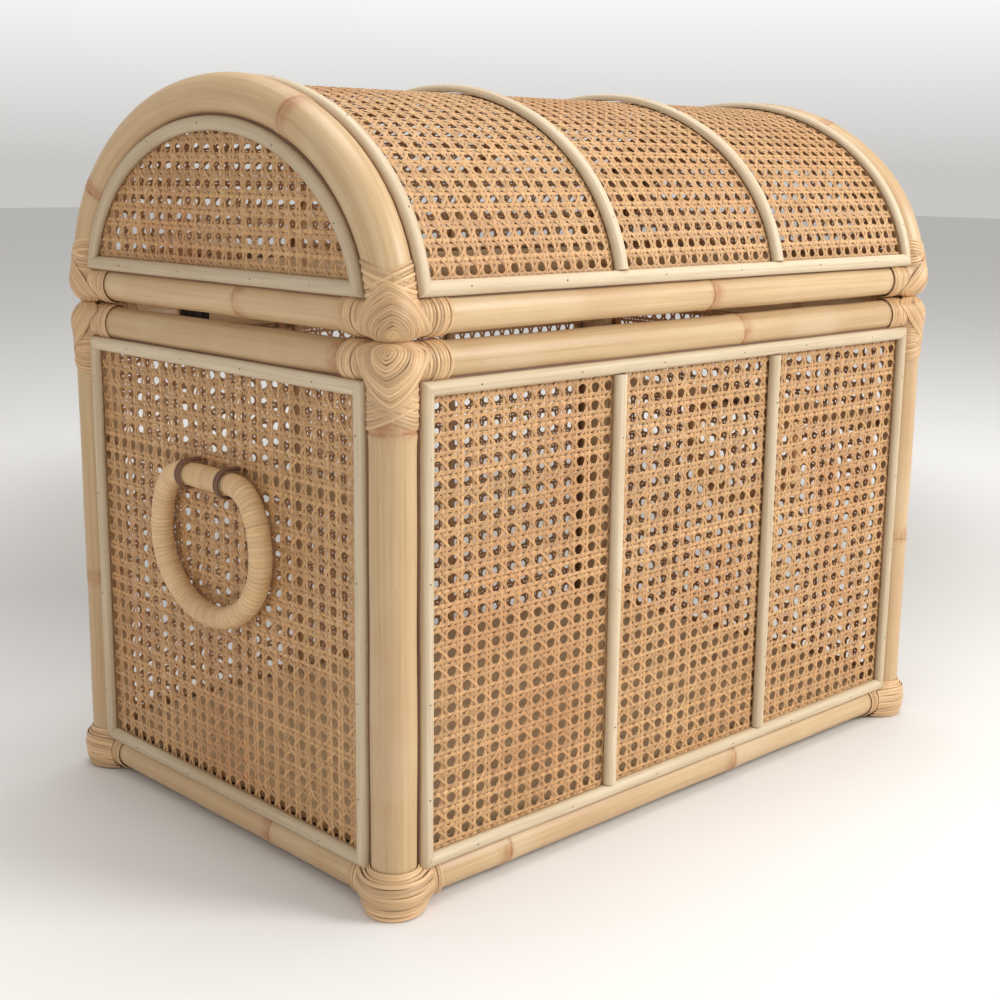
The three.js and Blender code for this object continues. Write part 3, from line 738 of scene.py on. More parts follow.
def edge_reed(shape, route, outward):
    """The thin dark reed that holds the edge of the cane, between the strip and the pole."""
    path = resample(route, np.linspace(0, length_of(route), max(3, int(length_of(route) / (12 * MM)))))
    sweep(shape, path, outward, round_section(1.5 * MM, 8), tone=rng.uniform(0, 1))


def flat_frame(prefix, node, sx, sy, dividers, body, extra=()):
    """Four mitred strips over the edges of a flat panel, and the dividers between them."""
    low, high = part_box(node)
    shape, nails, reeds = Shape(), Shape(), Shape()
    out = np.array([(sx, sy, 0.0)])
    inset = BEAD_WIDTH / 2
    axis = 1 if sx else 0
    u_low, u_high = low[axis] + inset, high[axis] - inset
    v_low, v_high = low.z + inset, high.z - inset
    depth = sx * (POST_X + BEAD_BACK) if sx else sy * (POST_Y + BEAD_BACK)

    def point(u, v):
        return np.array((depth, u, v) if sx else (u, depth, v))

    ring = [point(u_low, v_low), point(u_high, v_low), point(u_high, v_high), point(u_low, v_high)]
    centre = sum(ring) / 4
    for i, start in enumerate(ring):
        end = ring[(i + 1) % 4]
        along = unit(end - start)
        inward = unit(centre - (start + end) / 2)
        route = straight(start + along * 0.1 * MM, end - along * 0.1 * MM)
        strip(shape, nails, route, out, BEAD_WIDTH, BEAD_THICKNESS, ends=(along - inward, along + inward))
        edge = -inward * (inset - 0.2 * MM) - out[0] * (BEAD_BACK - SKIN)
        edge_reed(reeds, straight(start - along * inset + edge, end + along * inset + edge), out[0])
    build(shape, f"{prefix}_beading", BEAD, body, node, crease=40)
    build(reeds, f"{prefix}_edge_reed", LASHING, body, crease=80)
    for i, u in enumerate(dividers):
        bar = Shape()
        route = straight(point(u, v_low + inset + STRIP_GAP), point(u, v_high - inset - STRIP_GAP))
        strip(bar, nails, route, out, DIVIDER_WIDTH, DIVIDER_THICKNESS)
        build(bar, f"{prefix}_divider_{ENDS[i][0]}", BEAD, body, *extra[i:i + 1], crease=40)
    build(nails, f"{prefix}_nails", METAL, body)


def lid_end_frame(end, sx):
    """A bent strip under the arch and a straight one along the rail."""
    node = f"lid_beading_{end}"
    low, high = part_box(node)
    shape, nails, reeds = Shape(), Shape(), Shape()
    x = sx * (POST_X + BEAD_BACK)
    out = np.array([(sx, 0.0, 0.0)])
    inset = BEAD_WIDTH / 2
    edge = -math.sqrt((ARCH_RADIUS + ARCH_CLEARANCE) ** 2 - BEAD_BACK ** 2)
    bent, _ = arch_route(edge - inset, low.z + inset)
    bent = in_plane(x, bent)
    corner_back, corner_front = bent[0], bent[-1]
    up_back, up_front = unit(bent[1] - bent[0]), unit(bent[-1] - bent[-2])
    level = unit(corner_front - corner_back)
    strip(shape, nails, bent, out, BEAD_WIDTH, BEAD_THICKNESS, ends=(up_back - level, up_front - level))
    base = straight(corner_back, corner_front)
    strip(shape, nails, base, out, BEAD_WIDTH, BEAD_THICKNESS, ends=(level - up_back, level - up_front))
    depth = sx * (POST_X + SKIN)
    edge_reed(reeds, in_plane(depth, arch_route(edge + 0.6 * MM, low.z)[0]), out[0])
    edge_reed(reeds, straight((depth, low.y, low.z + 0.3 * MM), (depth, high.y, low.z + 0.3 * MM)), out[0])
    build(shape, f"lid_{end}_beading", BEAD, "lid", node, crease=40)
    build(reeds, f"lid_{end}_edge_reed", LASHING, "lid", crease=80)
    build(nails, f"lid_{end}_nails", METAL, "lid")


def barrel_frame():
    """Strips along both long rails and beside each arch, mitred, and the two ribs."""
    low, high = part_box("lid_beading_barrel")
    shape, nails, reeds = Shape(), Shape(), Shape()
    inset = BEAD_WIDTH / 2
    flat, normal = arch_route(BEAD_BACK, low.z + inset)
    x_edge = high.x - inset
    along_x = np.array([1.0, 0, 0])
    for sx in (-1, 1):
        over = in_plane(sx * x_edge, flat)
        first, last = unit(over[1] - over[0]), unit(over[-1] - over[-2])
        strip(shape, nails, over, in_plane(0, normal), BEAD_WIDTH, BEAD_THICKNESS,
              ends=(first + sx * along_x, last - sx * along_x))
        hem, hem_out = arch_route(SKIN, low.z)
        edge_reed(reeds, in_plane(sx * (high.x - 0.2 * MM), hem), in_plane(0, hem_out)[len(hem) // 2])
    for sy in (-1, 1):
        y, z = sy * hem[0][0], hem[0][1] + 0.3 * MM
        edge_reed(reeds, straight((-high.x, y, z), (high.x, y, z)), (0, sy, 0))
    build(reeds, "lid_barrel_edge_reed", LASHING, "lid", crease=80)
    for index, step in ((0, 1), (-1, -2)):
        y, z = flat[index]
        out = np.array([(0, *normal[index])])
        up = unit(in_plane(0, flat)[step] - in_plane(0, flat)[index])
        strip(shape, nails, straight((-x_edge, y, z), (x_edge, y, z)), out, BEAD_WIDTH, BEAD_THICKNESS,
              ends=(along_x - up, along_x + up))
    build(shape, "lid_barrel_beading", BEAD, "lid", "lid_beading_barrel", crease=40)
    foot = low.z + BEAD_WIDTH + STRIP_GAP
    flat, normal = arch_route(BEAD_BACK, foot)
    for end, sx in ENDS:
        rib = Shape()
        route = in_plane(sx * DIVIDER_X, flat)
        strip(rib, nails, route, in_plane(0, normal), DIVIDER_WIDTH, DIVIDER_THICKNESS)
        build(rib, f"lid_rib_{end}_strip", BEAD, "lid", f"lid_rib_{end}", crease=40)
    build(nails, "lid_barrel_nails", METAL, "lid")


def beading():
    front_bars = [f"front_divider_{end}" for end, _ in ENDS]
    flat_frame("front", "beading_front", 0, -1, (-DIVIDER_X, DIVIDER_X), "base", front_bars)
    flat_frame("back", "beading_back", 0, 1, (-DIVIDER_X, DIVIDER_X), "base")
    for end, sx in ENDS:
        flat_frame(end, f"beading_{end}", sx, 0, (), "base")
        lid_end_frame(end, sx)
    barrel_frame()


# ---- corner bindings

PEEL_WIDTH, PEEL_THICKNESS = 2.6 * MM, 0.9 * MM
WIDE_PEEL = 3.1 * MM  # width of the strands round a foot and across the inside of a corner
NARROW_PEEL = 2.2 * MM  # width of the strands in the nested loops
CORE_DEPTH = 0.3 * MM  # of the closed skin, under the poles' rounded surface
UNDER_LIFT, OVER_LIFT, TOP_LIFT = 0.5 * MM, 0.95 * MM, 1.3 * MM  # of a strand's middle off the poles
BEND = POST_RADIUS  # radius of the path that goes round the outside of a corner
QUARTER = BEND * math.pi / 4
SEAM_Z = (POST_TOP + LID_BOTTOM_Z) / 2
SEAM_ROOM = 0.52 * MM  # a strand's middle stops this far short of the seam


def from_line(points, line):
    """Distance from each point to a chain of straight stretches."""
    best = np.full(len(points), 1e9)
    for a, b in zip(line[:-1], line[1:]):
        share = np.clip((points - a) @ (b - a) / ((b - a) @ (b - a)), 0, 1)
        best = np.minimum(best, np.linalg.norm(points - a - share[:, None] * (b - a), axis=1))
    return best


class Corner:
    """The three poles that meet at a corner, as one rounded body that strands can lie on.
    blend is how far the poles flow into one another. flip is 1 where the upright goes down from the
    rails, and -1 where it goes up."""

    def __init__(self, sx, sy, rail_z, upright, upright_radius, flip, blend=7 * MM):
        self.sx, self.sy, self.rail_z, self.flip, self.blend = sx, sy, rail_z, flip, blend
        self.centre = np.array([sx * POST_X, sy * POST_Y, rail_z])
        self.upright = upright
        reach = 80 * MM
        along_x = np.array([self.centre, self.centre - (sx * reach, 0, 0)])
        along_y = np.array([self.centre, self.centre - (0, sy * reach, 0)])
        self.poles = [(along_x, RAIL_RADIUS), (along_y, RAIL_RADIUS), (upright, upright_radius)]

    def distance(self, points):
        whole = None
        for line, radius in self.poles:
            d = from_line(points, line) - radius
            if whole is None:
                whole = d
            else:
                h = np.clip(0.5 + 0.5 * (d - whole) / self.blend, 0, 1)
                whole = d * (1 - h) + whole * h - self.blend * h * (1 - h)
        return whole

    def on_skin(self, base, direction, lift):
        """Where each ray leaves the body raised by a lift, short of the seam, and the way out there."""
        near, far = np.zeros(len(base)), np.full(len(base), 40 * MM)
        for _ in range(22):
            mid = (near + far) / 2
            outside = self.distance(base + direction * mid[:, None]) > lift
            near, far = np.where(outside, near, mid), np.where(outside, mid, far)
        place = base + direction * far[:, None]
        tiny = 0.05 * MM
        slope = np.stack([self.distance(place + tiny * axis) - self.distance(place - tiny * axis)
                          for axis in np.eye(3)], 1)
        room = SEAM_Z - self.flip * SEAM_ROOM
        nearer = np.minimum if self.flip > 0 else np.maximum
        place[:, 2] = nearer(place[:, 2], room)
        return place, unit(slope)

    def facing(self, a):
        """The level direction out of the corner at a distance round it, and the shift along a rail there.
        a is 0 at the corner itself, more towards the front or back, and less towards the end."""
        turn = np.clip(a, -QUARTER, QUARTER) / BEND
        corner = np.array([self.sx, self.sy, 0]) / math.sqrt(2)
        across = np.array([-self.sx, self.sy, 0]) / math.sqrt(2)
        direction = np.outer(np.cos(turn), corner) + np.outer(np.sin(turn), across)
        past = np.maximum(np.abs(a) - QUARTER, 0)
        shift = np.where(a[:, None] > 0, np.outer(past, (-self.sx, 0, 0)), np.outer(past, (0, -self.sy, 0)))
        return direction, shift

    def upright_axis(self, z):
        """The upright pole's axis at each height."""
        line = self.upright[np.argsort(self.upright[:, 2])]
        return np.stack([np.interp(z, line[:, 2], line[:, 0]), np.interp(z, line[:, 2], line[:, 1]), z], 1)

    def round_corner(self, a, b, lift):
        """Places given by a distance round the corner and one up or down it: b is 0 on the rail's axis,
        less along the upright, and more towards the seam and over the rail."""
        direction, shift = self.facing(a)
        turn = np.clip(b, 0, None) / (RAIL_RADIUS + lift)
        over = direction * np.cos(turn)[:, None] + np.outer(np.sin(turn), (0, 0, self.flip))
        z = self.rail_z + self.flip * np.minimum(b, 0)
        return self.on_skin(self.upright_axis(z) + shift, over, lift)


def add_peel(shape, place, out, closed, width=PEEL_WIDTH):
    sweep(shape, place, out, strand_section(width, PEEL_THICKNESS), closed=closed, tone=rng.uniform(0.1, 1))


def nested_loops(shape, corner, middle_a, middle_b, side, tip, top, count):
    """Closed strands one round another: pointed along the upright and rounder towards the seam."""
    angle = np.linspace(0, 2 * math.pi, 96, endpoint=False)
    c, s = np.cos(angle), np.sin(angle)
    for k in range(count):
        share = (k + 0.75) / count
        power = np.where(s < 0, 1.42 - 0.27 * share, 1.9 - 0.3 * share)
        r = (np.abs(c) ** power + np.abs(s) ** power) ** (-1 / power)
        sway = 0.25 * MM * np.sin(2 * angle + rng.uniform(0, 6))
        a = middle_a * (1 - share) + share * side * r * c + sway
        b = middle_b + np.where(s < 0, tip, top) * share * r * s + sway[::-1]
        lift = TOP_LIFT + rng.uniform(-0.08, 0.08) * MM
        add_peel(shape, *corner.round_corner(a, b, lift), True, width=NARROW_PEEL)


def crossing_rings(shape, corner, low, high, radius, pitch, tilt):
    """Rings round the upright that tilt both ways, so that they cross on the outside of the corner."""
    angle = np.linspace(0, 2 * math.pi, 48, endpoint=False)
    facing = math.atan2(corner.sy, corner.sx)
    out = np.stack([np.cos(angle), np.sin(angle), np.zeros(len(angle))], 1)
    for k, along in enumerate(np.arange(low, high, pitch)):
        for way in (1, -1):
            lift = OVER_LIFT if (k % 2 == 0) == (way > 0) else UNDER_LIFT
            level = along + way * tilt * np.sin(angle - facing) + rng.uniform(-0.2, 0.2) * MM
            axis = corner.upright_axis(corner.rail_z - corner.flip * level)
            add_peel(shape, axis + out * (radius + lift), out, True)


def rail_rings(shape, corner, start, end, pitch, bow, lift):
    """Rings round both rails beside a corner, bowed away from it on the outside."""
    angle = np.linspace(0, 2 * math.pi, 32, endpoint=False)
    over_x, over_y = (corner.sx, 0, 0), (0, corner.sy, 0)
    for along, sideways in (((-corner.sx, 0, 0), over_y), ((0, -corner.sy, 0), over_x)):
        for d in np.arange(start, end, pitch):
            reach = d + bow * np.cos(angle) + rng.uniform(-0.25, 0.25) * MM
            out = np.outer(np.cos(angle), sideways) + np.outer(np.sin(angle), (0, 0, 1))
            place = corner.centre + np.outer(reach, along) + out * (RAIL_RADIUS + lift)
            add_peel(shape, place, out, True, width=pitch * 0.94)


def core(shape, corner):
    """A closed skin just under the strands, so that no gap between them opens onto the poles' ends."""
    rings, sides = 24, 36
    polar = np.linspace(math.pi - 0.05, 0.05, rings)[:, None]
    turn = np.linspace(0, 2 * math.pi, sides, endpoint=False)[None, :]
    direction = np.stack([np.sin(polar) * np.cos(turn), np.sin(polar) * np.sin(turn),
                          np.cos(polar) + 0 * turn], -1).reshape(-1, 3)
    place, _ = corner.on_skin(np.tile(corner.centre, (len(direction), 1)), direction, -CORE_DEPTH)
    shape.add(place, tube_faces(rings, sides, False), tone=0.3)


def inner_wraps(shape, corner):
    """Strands across the inside of a corner from rail to rail, one above another up to its seam side."""
    share = np.linspace(-22 * MM, 22 * MM, 40)
    along_x, along_y = np.array([-corner.sx, 0, 0]), np.array([0, -corner.sy, 0])
    base = (corner.centre + np.outer(np.clip(-share, 0, None), along_x)
            + np.outer(np.clip(share, 0, None), along_y))
    inward = (along_x + along_y) / math.sqrt(2)
    for tilt in np.radians(np.arange(-20, 95, 8)):
        direction = math.cos(tilt) * inward + math.sin(tilt) * np.array([0, 0, corner.flip])
        lift = UNDER_LIFT + rng.uniform(-0.1, 0.15) * MM
        place, out = corner.on_skin(base, np.tile(direction, (len(base), 1)), lift)
        add_peel(shape, place, out, False, width=WIDE_PEEL)


FOOT_BLEND = 17  # how far the poles flow into one another at a foot, in millimetres
# Millimetres up the foot of each strand, and the blend there
FOOT_LEVELS = [(2 + 2.9 * k, FOOT_BLEND) for k in range(9)]
FOOT_LEVELS += [(27.2, 13.5), (28.6, 10), (29.8, 6.5), (30.8, 3)]


def foot_bands(shape, corner, reach):
    """Level strands round the outside of a foot, from rail to rail, whose ends go under the rail rings.
    The poles flow into one another less towards the top, so that the last strands lie on the post."""
    a = np.linspace(-reach, reach, 64)
    direction, shift = corner.facing(a)
    for level, blend in FOOT_LEVELS:
        corner.blend = blend * MM
        z = level * MM + 0.3 * MM * np.sin(a / (9 * MM) + rng.uniform(0, 6))
        base = corner.upright_axis(z) + shift
        lift = OVER_LIFT + rng.uniform(-0.1, 0.15) * MM
        add_peel(shape, *corner.on_skin(base, direction, lift), False, width=WIDE_PEEL)


def seam_binding(name, corner, body, replaced, radius, rings_end, tilt, loops):
    """The binding of a corner on one side of the seam."""
    shape = Shape()
    rail_rings(shape, corner, start=14 * MM, end=25 * MM, pitch=3 * MM, bow=0, lift=UNDER_LIFT)
    rail_rings(shape, corner, start=23 * MM, end=35 * MM, pitch=2.8 * MM, bow=2.6 * MM, lift=TOP_LIFT)
    core(shape, corner)
    inner_wraps(shape, corner)
    crossing_rings(shape, corner, 14 * MM, rings_end, radius, pitch=2.5 * MM, tilt=tilt)
    nested_loops(shape, corner, count=16, **loops)
    build(shape, name, PEEL, body, replaced, crease=80)


HEAD_LOOPS = {"middle_a": -3 * MM, "middle_b": 8.5 * MM, "side": 34 * MM, "tip": 35 * MM, "top": 13 * MM}
LID_LOOPS = {"middle_a": 2 * MM, "middle_b": 9.5 * MM, "side": 34 * MM, "tip": 32 * MM, "top": 13 * MM}


def bindings():
    for name, sx, sy in CORNERS:
        ground = np.array([sx * POST_X, sy * POST_Y, 0])
        post = np.array([ground, ground + (0, 0, POST_TOP - POST_RADIUS)])
        leg = in_plane(sx * POST_X, arch(np.linspace(0.03, 0.6, 12))[0] * (sy, 1))
        leg = np.concatenate([[ground + (0, 0, LID_BOTTOM_Z + ARCH_RADIUS)], leg])

        foot = Corner(sx, sy, BOTTOM_RAIL_Z, post, POST_RADIUS, 1, blend=FOOT_BLEND * MM)
        shape = Shape()
        rail_rings(shape, foot, start=14 * MM, end=20 * MM, pitch=3 * MM, bow=0, lift=UNDER_LIFT)
        rail_rings(shape, foot, start=21 * MM, end=34 * MM, pitch=2.6 * MM, bow=-1.2 * MM, lift=TOP_LIFT)
        foot_bands(shape, foot, 34 * MM)
        build(shape, f"foot_binding_{name}", PEEL, "base", f"bottom_binding_{name}", crease=80)

        head = Corner(sx, sy, TOP_RAIL_Z, post, POST_RADIUS, 1)
        seam_binding(f"head_binding_{name}", head, "base", f"top_binding_{name}", POST_RADIUS,
                     32 * MM, 7 * MM, HEAD_LOOPS)
        lid = Corner(sx, sy, LID_RAIL_Z, leg, ARCH_RADIUS, -1)
        seam_binding(f"lid_corner_binding_{name}", lid, "lid", f"lid_binding_{name}", ARCH_RADIUS,
                     27 * MM, 6.5 * MM, LID_LOOPS)


# ---- ring handles

WRAP_PITCH = 3.3 * MM


def bezier(points, steps=40):
    t = np.linspace(0, 1, steps)[:, None]
    a, b, c, d = (np.array(p) for p in points)
    return (1 - t) ** 3 * a + 3 * (1 - t) ** 2 * t * b + 3 * (1 - t) * t ** 2 * c + t ** 3 * d


def ring_route(x):
    """The ring's axis from the middle of its top, once round."""
    widest = HANDLE_Z - RING_UPPER
    shoulder = bezier([(RING_TOP_HALF, HANDLE_Z), (50 * MM, HANDLE_Z), (RING_HALF_WIDTH, widest + 24 * MM),
                       (RING_HALF_WIDTH, widest)])
    angle = np.linspace(0, math.pi, 90)
    bowl = np.column_stack([RING_HALF_WIDTH * np.cos(angle), widest - RING_LOWER * np.sin(angle)])
    top = np.column_stack([np.linspace(0, RING_TOP_HALF, 12), np.full(12, HANDLE_Z)])
    other = shoulder[::-1] * (-1, 1)
    back = top[::-1] * (-1, 1)
    return in_plane(x, np.concatenate([top[:-1], shoulder[:-1], bowl[:-1], other[:-1], back]))


def ring_handles():
    for end, sx in ENDS:
        route = ring_route(sx * RING_X)
        length = length_of(route)
        wraps = round(length / WRAP_PITCH)
        per_wrap = 6
        at = np.arange(wraps * per_wrap) * length / (wraps * per_wrap)
        path = resample(route, at)
        phase = (at / length * wraps) % 1
        shades = rng.uniform(0, 1, wraps)
        which = (at / length * wraps).astype(int) % wraps
        depth = np.where(rng.uniform(0, 1, wraps) < 0.2, 0.40, 0.20)[which] * MM
        dome = -depth * np.abs(2 * phase - 1) ** 4
        level = np.minimum(at, length - at)  # distance from the middle of the top
        pinch = -1.1 * MM * np.exp(-((level - LASHING_Y) / (3.2 * MM)) ** 2)
        plump = 0.5 * MM * np.clip(1 - (level / LASHING_Y) ** 2, 0, 1)
        scale = (RING_RADIUS - 0.3 * MM + dome + pinch + plump) / RING_RADIUS
        shape = Shape()
        sides = 24
        tone = np.repeat(0.3 + 0.4 * shades[which] + 0.3 * np.sin(level * 20), sides)
        # Painted shade in the grooves between wraps, darker where a groove is deeper.
        groove_shade = np.clip((np.abs(2 * phase - 1) - 0.6) / 0.4, 0, 1) * depth / MM * 1.3
        sweep(shape, path, (sx, 0, 0), round_section(RING_RADIUS, sides), closed=True, scale=scale,
              tone=tone, mark=groove_shade)
        build(shape, f"ring_{end}", RING, f"ring_{end}", f"ring_handle_{end}", crease=80)


def lashing_route(sx, y, ring_radius, bar_radius):
    """A loop round the ring and the bar, in the X-Z plane."""
    outer = np.linspace(-math.pi / 2, math.pi / 2, 16)
    inner = outer + math.pi
    loop = np.concatenate([
        np.column_stack([RING_X + ring_radius * np.cos(outer), HANDLE_Z + ring_radius * np.sin(outer)]),
        np.column_stack([BAR_X + bar_radius * np.cos(inner), HANDLE_Z + bar_radius * np.sin(inner)])])
    return np.column_stack([sx * loop[:, 0], np.full(len(loop), y), loop[:, 1]])


def lashings():
    cord = 1.2 * MM
    for end, sx in ENDS:
        shape = Shape()
        for centre in (-LASHING_Y, LASHING_Y):
            for side in (-1, 1):
                route = lashing_route(sx, centre + side * cord, RING_RADIUS + 0.3 * MM + cord,
                                      BAR_RADIUS + 0.2 * MM + cord)
                sweep(shape, route, (0, 1, 0), round_section(cord, 10), closed=True, tone=rng.uniform(0, 1))
        x = sx * (BAR_X - BAR_RADIUS - 2 * cord)
        for side in (-1, 1):
            y, z = LASHING_Y + cord, HANDLE_Z + side * cord
            tie = straight((x, -y, z), (x, y, z))
            sweep(shape, tie, (sx, 0, 0), round_section(cord, 10), tone=rng.uniform(0, 1))
        build(shape, f"lashing_{end}", LASHING, "base", f"handle_lashing_{end}", crease=80)


# ---- plates, hinges and the floor board

def add_plate(shape, outline, depth_axis, near, far, bevel):
    """A flat plate with bevelled edges. Its outline is counter-clockwise in the other two axes."""
    outline = np.array(outline)
    centre = outline.mean(0)
    inset = outline - bevel * np.sign(outline - centre)
    levels = [(near, inset), (near + bevel, outline), (far - bevel, outline), (far, inset)]
    points = np.concatenate([np.insert(flat, depth_axis, depth, axis=1) for depth, flat in levels])
    faces = tube_faces(len(levels), len(outline), False)
    normal = np.cross(points[1] - points[0], points[2] - points[1])
    if normal[depth_axis] * (far - near) < 0:
        faces = [f[:, ::-1] for f in faces]
    shape.add(points, faces)


def rounded(x0, x1, z0, z1, radius, steps=5):
    """A rectangle with round corners, counter-clockwise."""
    corners = ((x1 - radius, z1 - radius, 0), (x0 + radius, z1 - radius, 1), (x0 + radius, z0 + radius, 2),
               (x1 - radius, z0 + radius, 3))
    return [(x + radius * math.cos(a), z + radius * math.sin(a)) for x, z, quarter in corners
            for a in np.linspace(quarter * math.pi / 2, (quarter + 1) * math.pi / 2, steps)]


def add_screw(shape, place, outward, radius=2.1 * MM):
    """A domed screw head."""
    across = unit(np.cross(outward, (0.0, 0.0, 1.0)))
    path = place + np.outer([-0.5 * MM, 0.25 * MM, 0.7 * MM, 0.95 * MM], outward)
    sweep(shape, path, across, round_section(radius, 16), scale=[1, 1, 0.75, 0.3])


HINGE_HALF_LENGTH = 22 * MM
LEAF_THICKNESS = 1.6 * MM
KNUCKLE_RADIUS = 3.4 * MM
PIN_RADIUS = 1.45 * MM
PIN_STAND_OUT = 0.6 * MM  # past the knuckle at each end
KNUCKLE_GAP = 0.2 * MM  # taken off each end of a knuckle
PLATE_BEVEL = 0.3 * MM


def hinges():
    """Two butt hinges. The base's leaf has the outer knuckles and the pin, the lid's the middle knuckle."""
    for end, _ in ENDS:
        for body, up in (("base", 1), ("lid", -1)):
            node = f"hinge_{body}_leaf_{end}"
            low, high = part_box(node)
            shape = Shape()
            pin_y = high.y - KNUCKLE_RADIUS
            pin_z = high.z - KNUCKLE_RADIUS if up > 0 else low.z + KNUCKLE_RADIUS
            z0, z1 = (low.z, pin_z - KNUCKLE_RADIUS) if up > 0 else (pin_z + KNUCKLE_RADIUS, high.z)
            centre = (low.x + high.x) / 2
            x0, x1 = centre - HINGE_HALF_LENGTH, centre + HINGE_HALF_LENGTH
            front = low.y + LEAF_THICKNESS
            add_plate(shape, rounded(x0, x1, z0, z1, 2.5 * MM), 1, low.y, front, PLATE_BEVEL)
            third = (high.x - low.x) / 3
            spans = [(low.x + third, high.x - third)]
            if up > 0:
                spans = [(low.x, low.x + third), (high.x - third, high.x)]
            for x0, x1 in spans:
                edge_z = z1 if up > 0 else z0
                curl(shape, x0 + KNUCKLE_GAP, x1 - KNUCKLE_GAP, low.y, pin_y, pin_z, edge_z, up)
            if up > 0:
                pin = straight((low.x - PIN_STAND_OUT, pin_y, pin_z), (high.x + PIN_STAND_OUT, pin_y, pin_z))
                sweep(shape, pin, (0, 0, 1), round_section(PIN_RADIUS, 12))
            build(shape, f"hinge_{body}_leaf_{end}_plate", METAL, body, node, crease=35)
            screws = Shape()
            for dx in (-14, 0, 14):
                z = (z0 + z1) / 2 + (4 * MM if dx == 0 else -3 * MM) * up
                add_screw(screws, np.array((centre + dx * MM, front, z)), np.array((0.0, 1.0, 0.0)))
            build(screws, f"hinge_{body}_screws_{end}", SCREW, body, crease=35)


def curl(shape, x0, x1, back, pin_y, pin_z, edge_z, up):
    """The stretch of leaf that rises from the plate and curls round the pin, as one bent sheet."""
    middle_y = back + LEAF_THICKNESS / 2
    radius = (KNUCKLE_RADIUS + (KNUCKLE_RADIUS - LEAF_THICKNESS)) / 2
    angle = np.linspace(math.pi, -0.8 * math.pi, 22)
    loop = np.column_stack([pin_y + radius * np.cos(angle), pin_z + up * radius * np.sin(angle)])
    loop = loop[loop[:, 0] > back + LEAF_THICKNESS * 0.4]
    flat = np.concatenate([[(middle_y, edge_z - up * 1.5 * MM)], loop])
    path = in_plane((x0 + x1) / 2, flat)
    section = np.array([(.5, -.5), (.5, .5), (-.5, .5), (-.5, -.5)]) * (x1 - x0, LEAF_THICKNESS)
    out = np.cross(np.gradient(path, axis=0), (1.0, 0, 0))
    sweep(shape, path, out, section)


def backing_plates():
    """A dark plate inside the back top rail, behind each hinge."""
    for end, sx in ENDS:
        centre = middle(f"hinge_base_leaf_{end}")[0] + sx * 9 * MM
        y = POST_Y - RAIL_RADIUS - 0.4 * MM
        across, up = 13 * MM, 7 * MM
        outline = rounded(centre - across, centre + across, TOP_RAIL_Z - up, TOP_RAIL_Z + up, 2 * MM)
        shape = Shape()
        add_plate(shape, outline, 1, y - LEAF_THICKNESS, y, PLATE_BEVEL)
        for dx in (-8 * MM, 8 * MM):
            place = np.array((centre + dx, y - LEAF_THICKNESS, TOP_RAIL_Z))
            add_screw(shape, place, np.array((0.0, -1.0, 0.0)))
        build(shape, f"hinge_backing_{end}", METAL, "base", crease=35)


def floor_board():
    low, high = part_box("floor_board")
    notch = 18 * MM
    x, y = high.x, high.y
    cut_x, cut_y = POST_X - notch, POST_Y - notch
    right = [(cut_x, -y), (cut_x, -cut_y), (x, -cut_y), (x, cut_y), (cut_x, cut_y), (cut_x, y)]
    outline = right + [(-p, -q) for p, q in right]
    shape = Shape()
    add_plate(shape, outline, 2, low.z, high.z, 0.5 * MM)
    shape.grain = [p[:, [1, 2, 0]] for p in shape.points]
    build(shape, "floor_board_sheet", BOARD, "base", "floor_board", crease=35)


# ---- inside

def inner_strips():
    """Battens behind the dividers and hoops under the ribs, which the nails go into."""
    width, thickness = 9 * MM, 4 * MM
    back = SKIN - 1.4 * MM
    low, high = BOTTOM_RAIL_Z + RAIL_RADIUS + 8 * MM, TOP_RAIL_Z - RAIL_RADIUS - 1 * MM
    flat, normal = arch_route(back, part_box("lid_cane_barrel")[0].z + 2 * MM)
    for end, sx in ENDS:
        x = sx * DIVIDER_X
        spare = Shape()
        for face, sy in FACES:
            shape = Shape()
            route = straight((x, sy * (POST_Y + back), low), (x, sy * (POST_Y + back), high))
            strip(shape, spare, route, np.array([(0.0, -sy, 0.0)]), width, thickness)
            build(shape, f"inner_batten_{face}_{end}", PEEL, "base", crease=40)
        shape = Shape()
        strip(shape, spare, in_plane(x, flat), -in_plane(0, normal), width, thickness)
        build(shape, f"inner_hoop_{end}", PEEL, "lid", crease=40)


# ---- studio

CAMERA_PLACE = (-0.8868, -0.8970, 0.4783)
CAMERA_AZIMUTH, CAMERA_ELEVATION, CAMERA_ROLL = (math.radians(a) for a in (-43.96, 12.2, 0.67))
CAMERA_LENS = 55.73  # millimetres, on a 36 mm sensor


def camera():
    data = bpy.data.cameras.new("camera")
    made = bpy.data.objects.new("camera", data)
    bpy.context.scene.collection.objects.link(made)
    data.sensor_width, data.lens = 36, CAMERA_LENS
    data.clip_start, data.clip_end = 0.01, 100
    a, e = CAMERA_AZIMUTH, CAMERA_ELEVATION
    back = Vector((math.sin(a) * math.cos(e), -math.cos(a) * math.cos(e), math.sin(e)))
    right = Vector((0, 0, 1)).cross(back).normalized()
    up = back.cross(right)
    c, s = math.cos(CAMERA_ROLL), math.sin(CAMERA_ROLL)
    right, up = right * c + up * s, up * c - right * s
    made.matrix_world = Matrix.Translation(CAMERA_PLACE) @ Matrix((right, up, back)).transposed().to_4x4()
    bpy.context.scene.camera = made


def floor():
    """A large flat floor."""
    mesh = bpy.data.meshes.new("studio_floor_painted_shadow")
    reach, lines = 14.0, 9
    steps = np.linspace(-reach, reach, lines)
    points = [(x, y, 0.0) for y in steps for x in steps]
    starts = [row * lines + column for row in range(lines - 1) for column in range(lines - 1)]
    faces = [(k, k + 1, k + 1 + lines, k + lines) for k in starts]
    mesh.from_pydata(points, [], faces)
    mesh.materials.append(floor_material_with_painted_shadow())
    made = bpy.data.objects.new("studio_floor_painted_shadow", mesh)
    bpy.context.scene.collection.objects.link(made)


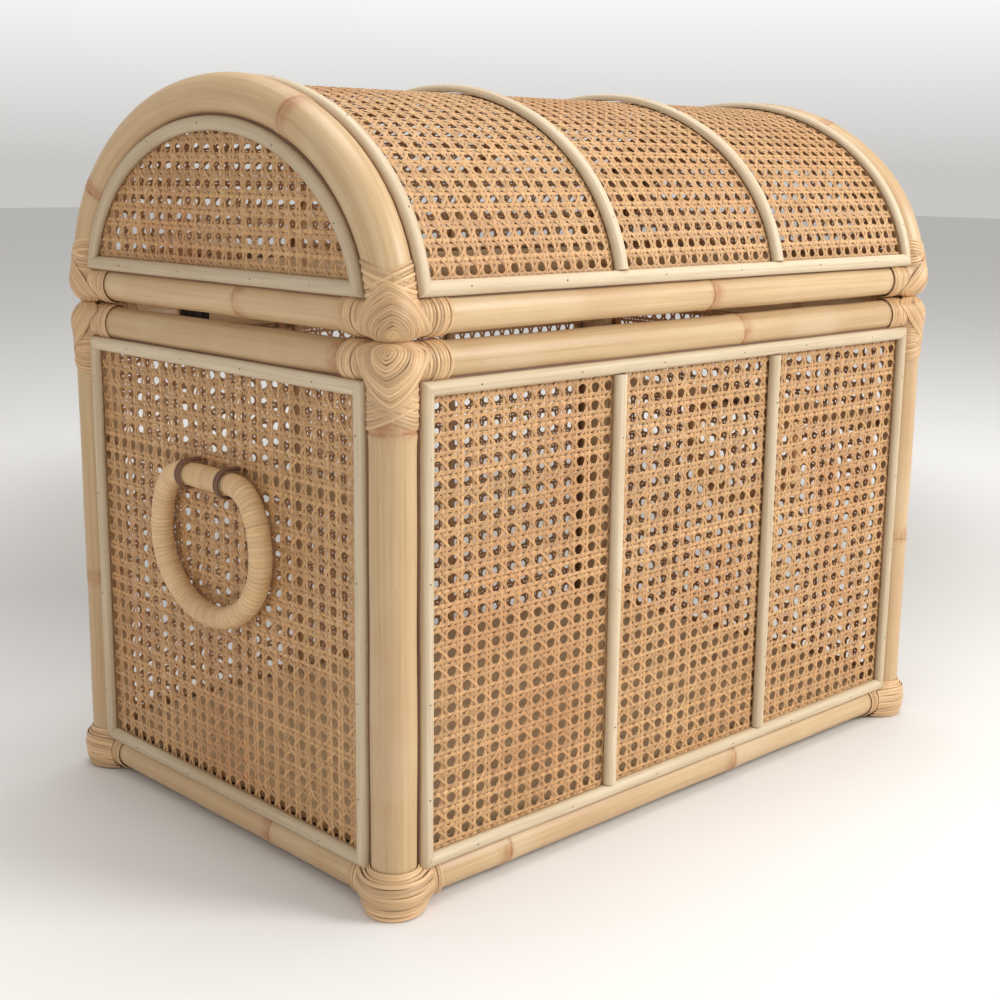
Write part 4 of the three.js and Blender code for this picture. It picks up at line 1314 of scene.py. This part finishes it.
LAMP_AIM = (0, 0, 0.25)


def lamp(name, place, size, power, colour):
    data = bpy.data.lights.new(name, "AREA")
    data.shape, data.size, data.energy, data.color = "DISK", size, power, colour
    made = bpy.data.objects.new(name, data)
    bpy.context.scene.collection.objects.link(made)
    made.location = place
    made.rotation_euler = (Vector(LAMP_AIM) - Vector(place)).to_track_quat("-Z", "Y").to_euler()


def studio():
    """Plain surroundings that also light softly, white above and grey at the horizon, and three lamps."""
    world = bpy.data.worlds.new("studio")
    bpy.context.scene.world = world
    world.use_nodes = True
    nodes, links = world.node_tree.nodes, world.node_tree.links
    lit, seen = nodes["Background"], nodes.new("ShaderNodeBackground")
    lit.inputs["Color"].default_value = (1.0, 0.985, 0.965, 1)
    lit.inputs["Strength"].default_value = 0.56
    kinds = ("TexCoord", "SeparateXYZ", "ValToRGB")
    direction, parts, ramp = (nodes.new("ShaderNode" + kind) for kind in kinds)
    links.new(direction.outputs["Generated"], parts.inputs[0])
    links.new(parts.outputs["Z"], ramp.inputs["Fac"])
    low, high = ramp.color_ramp.elements
    low.position, low.color = 0.0, (0.58, 0.57, 0.555, 1)
    high.position, high.color = 0.12, (1, 1, 1, 1)
    links.new(ramp.outputs["Color"], seen.inputs["Color"])
    mixer, path = nodes.new("ShaderNodeMixShader"), nodes.new("ShaderNodeLightPath")
    links.new(path.outputs["Is Camera Ray"], mixer.inputs[0])
    links.new(lit.outputs[0], mixer.inputs[1])
    links.new(seen.outputs[0], mixer.inputs[2])
    links.new(mixer.outputs[0], nodes["World Output"].inputs[0])
    lamp("key", (1.5, -2.5, 1.8), size=1.5, power=77, colour=(1.0, 0.985, 0.955))
    lamp("fill", (-2.4, -0.6, 1.2), size=2.0, power=6.5, colour=(1.0, 0.98, 0.96))
    lamp("top", (0.3, 0.1, 2.8), size=1.8, power=34, colour=(1.0, 0.99, 0.97))
    floor()
    bpy.context.scene.view_settings.view_transform = "Standard"


# ---- the trunk

camera()
studio()
poles()
cane()
beading()
bindings()
ring_handles()
lashings()
hinges()
backing_plates()
floor_board()
inner_strips()
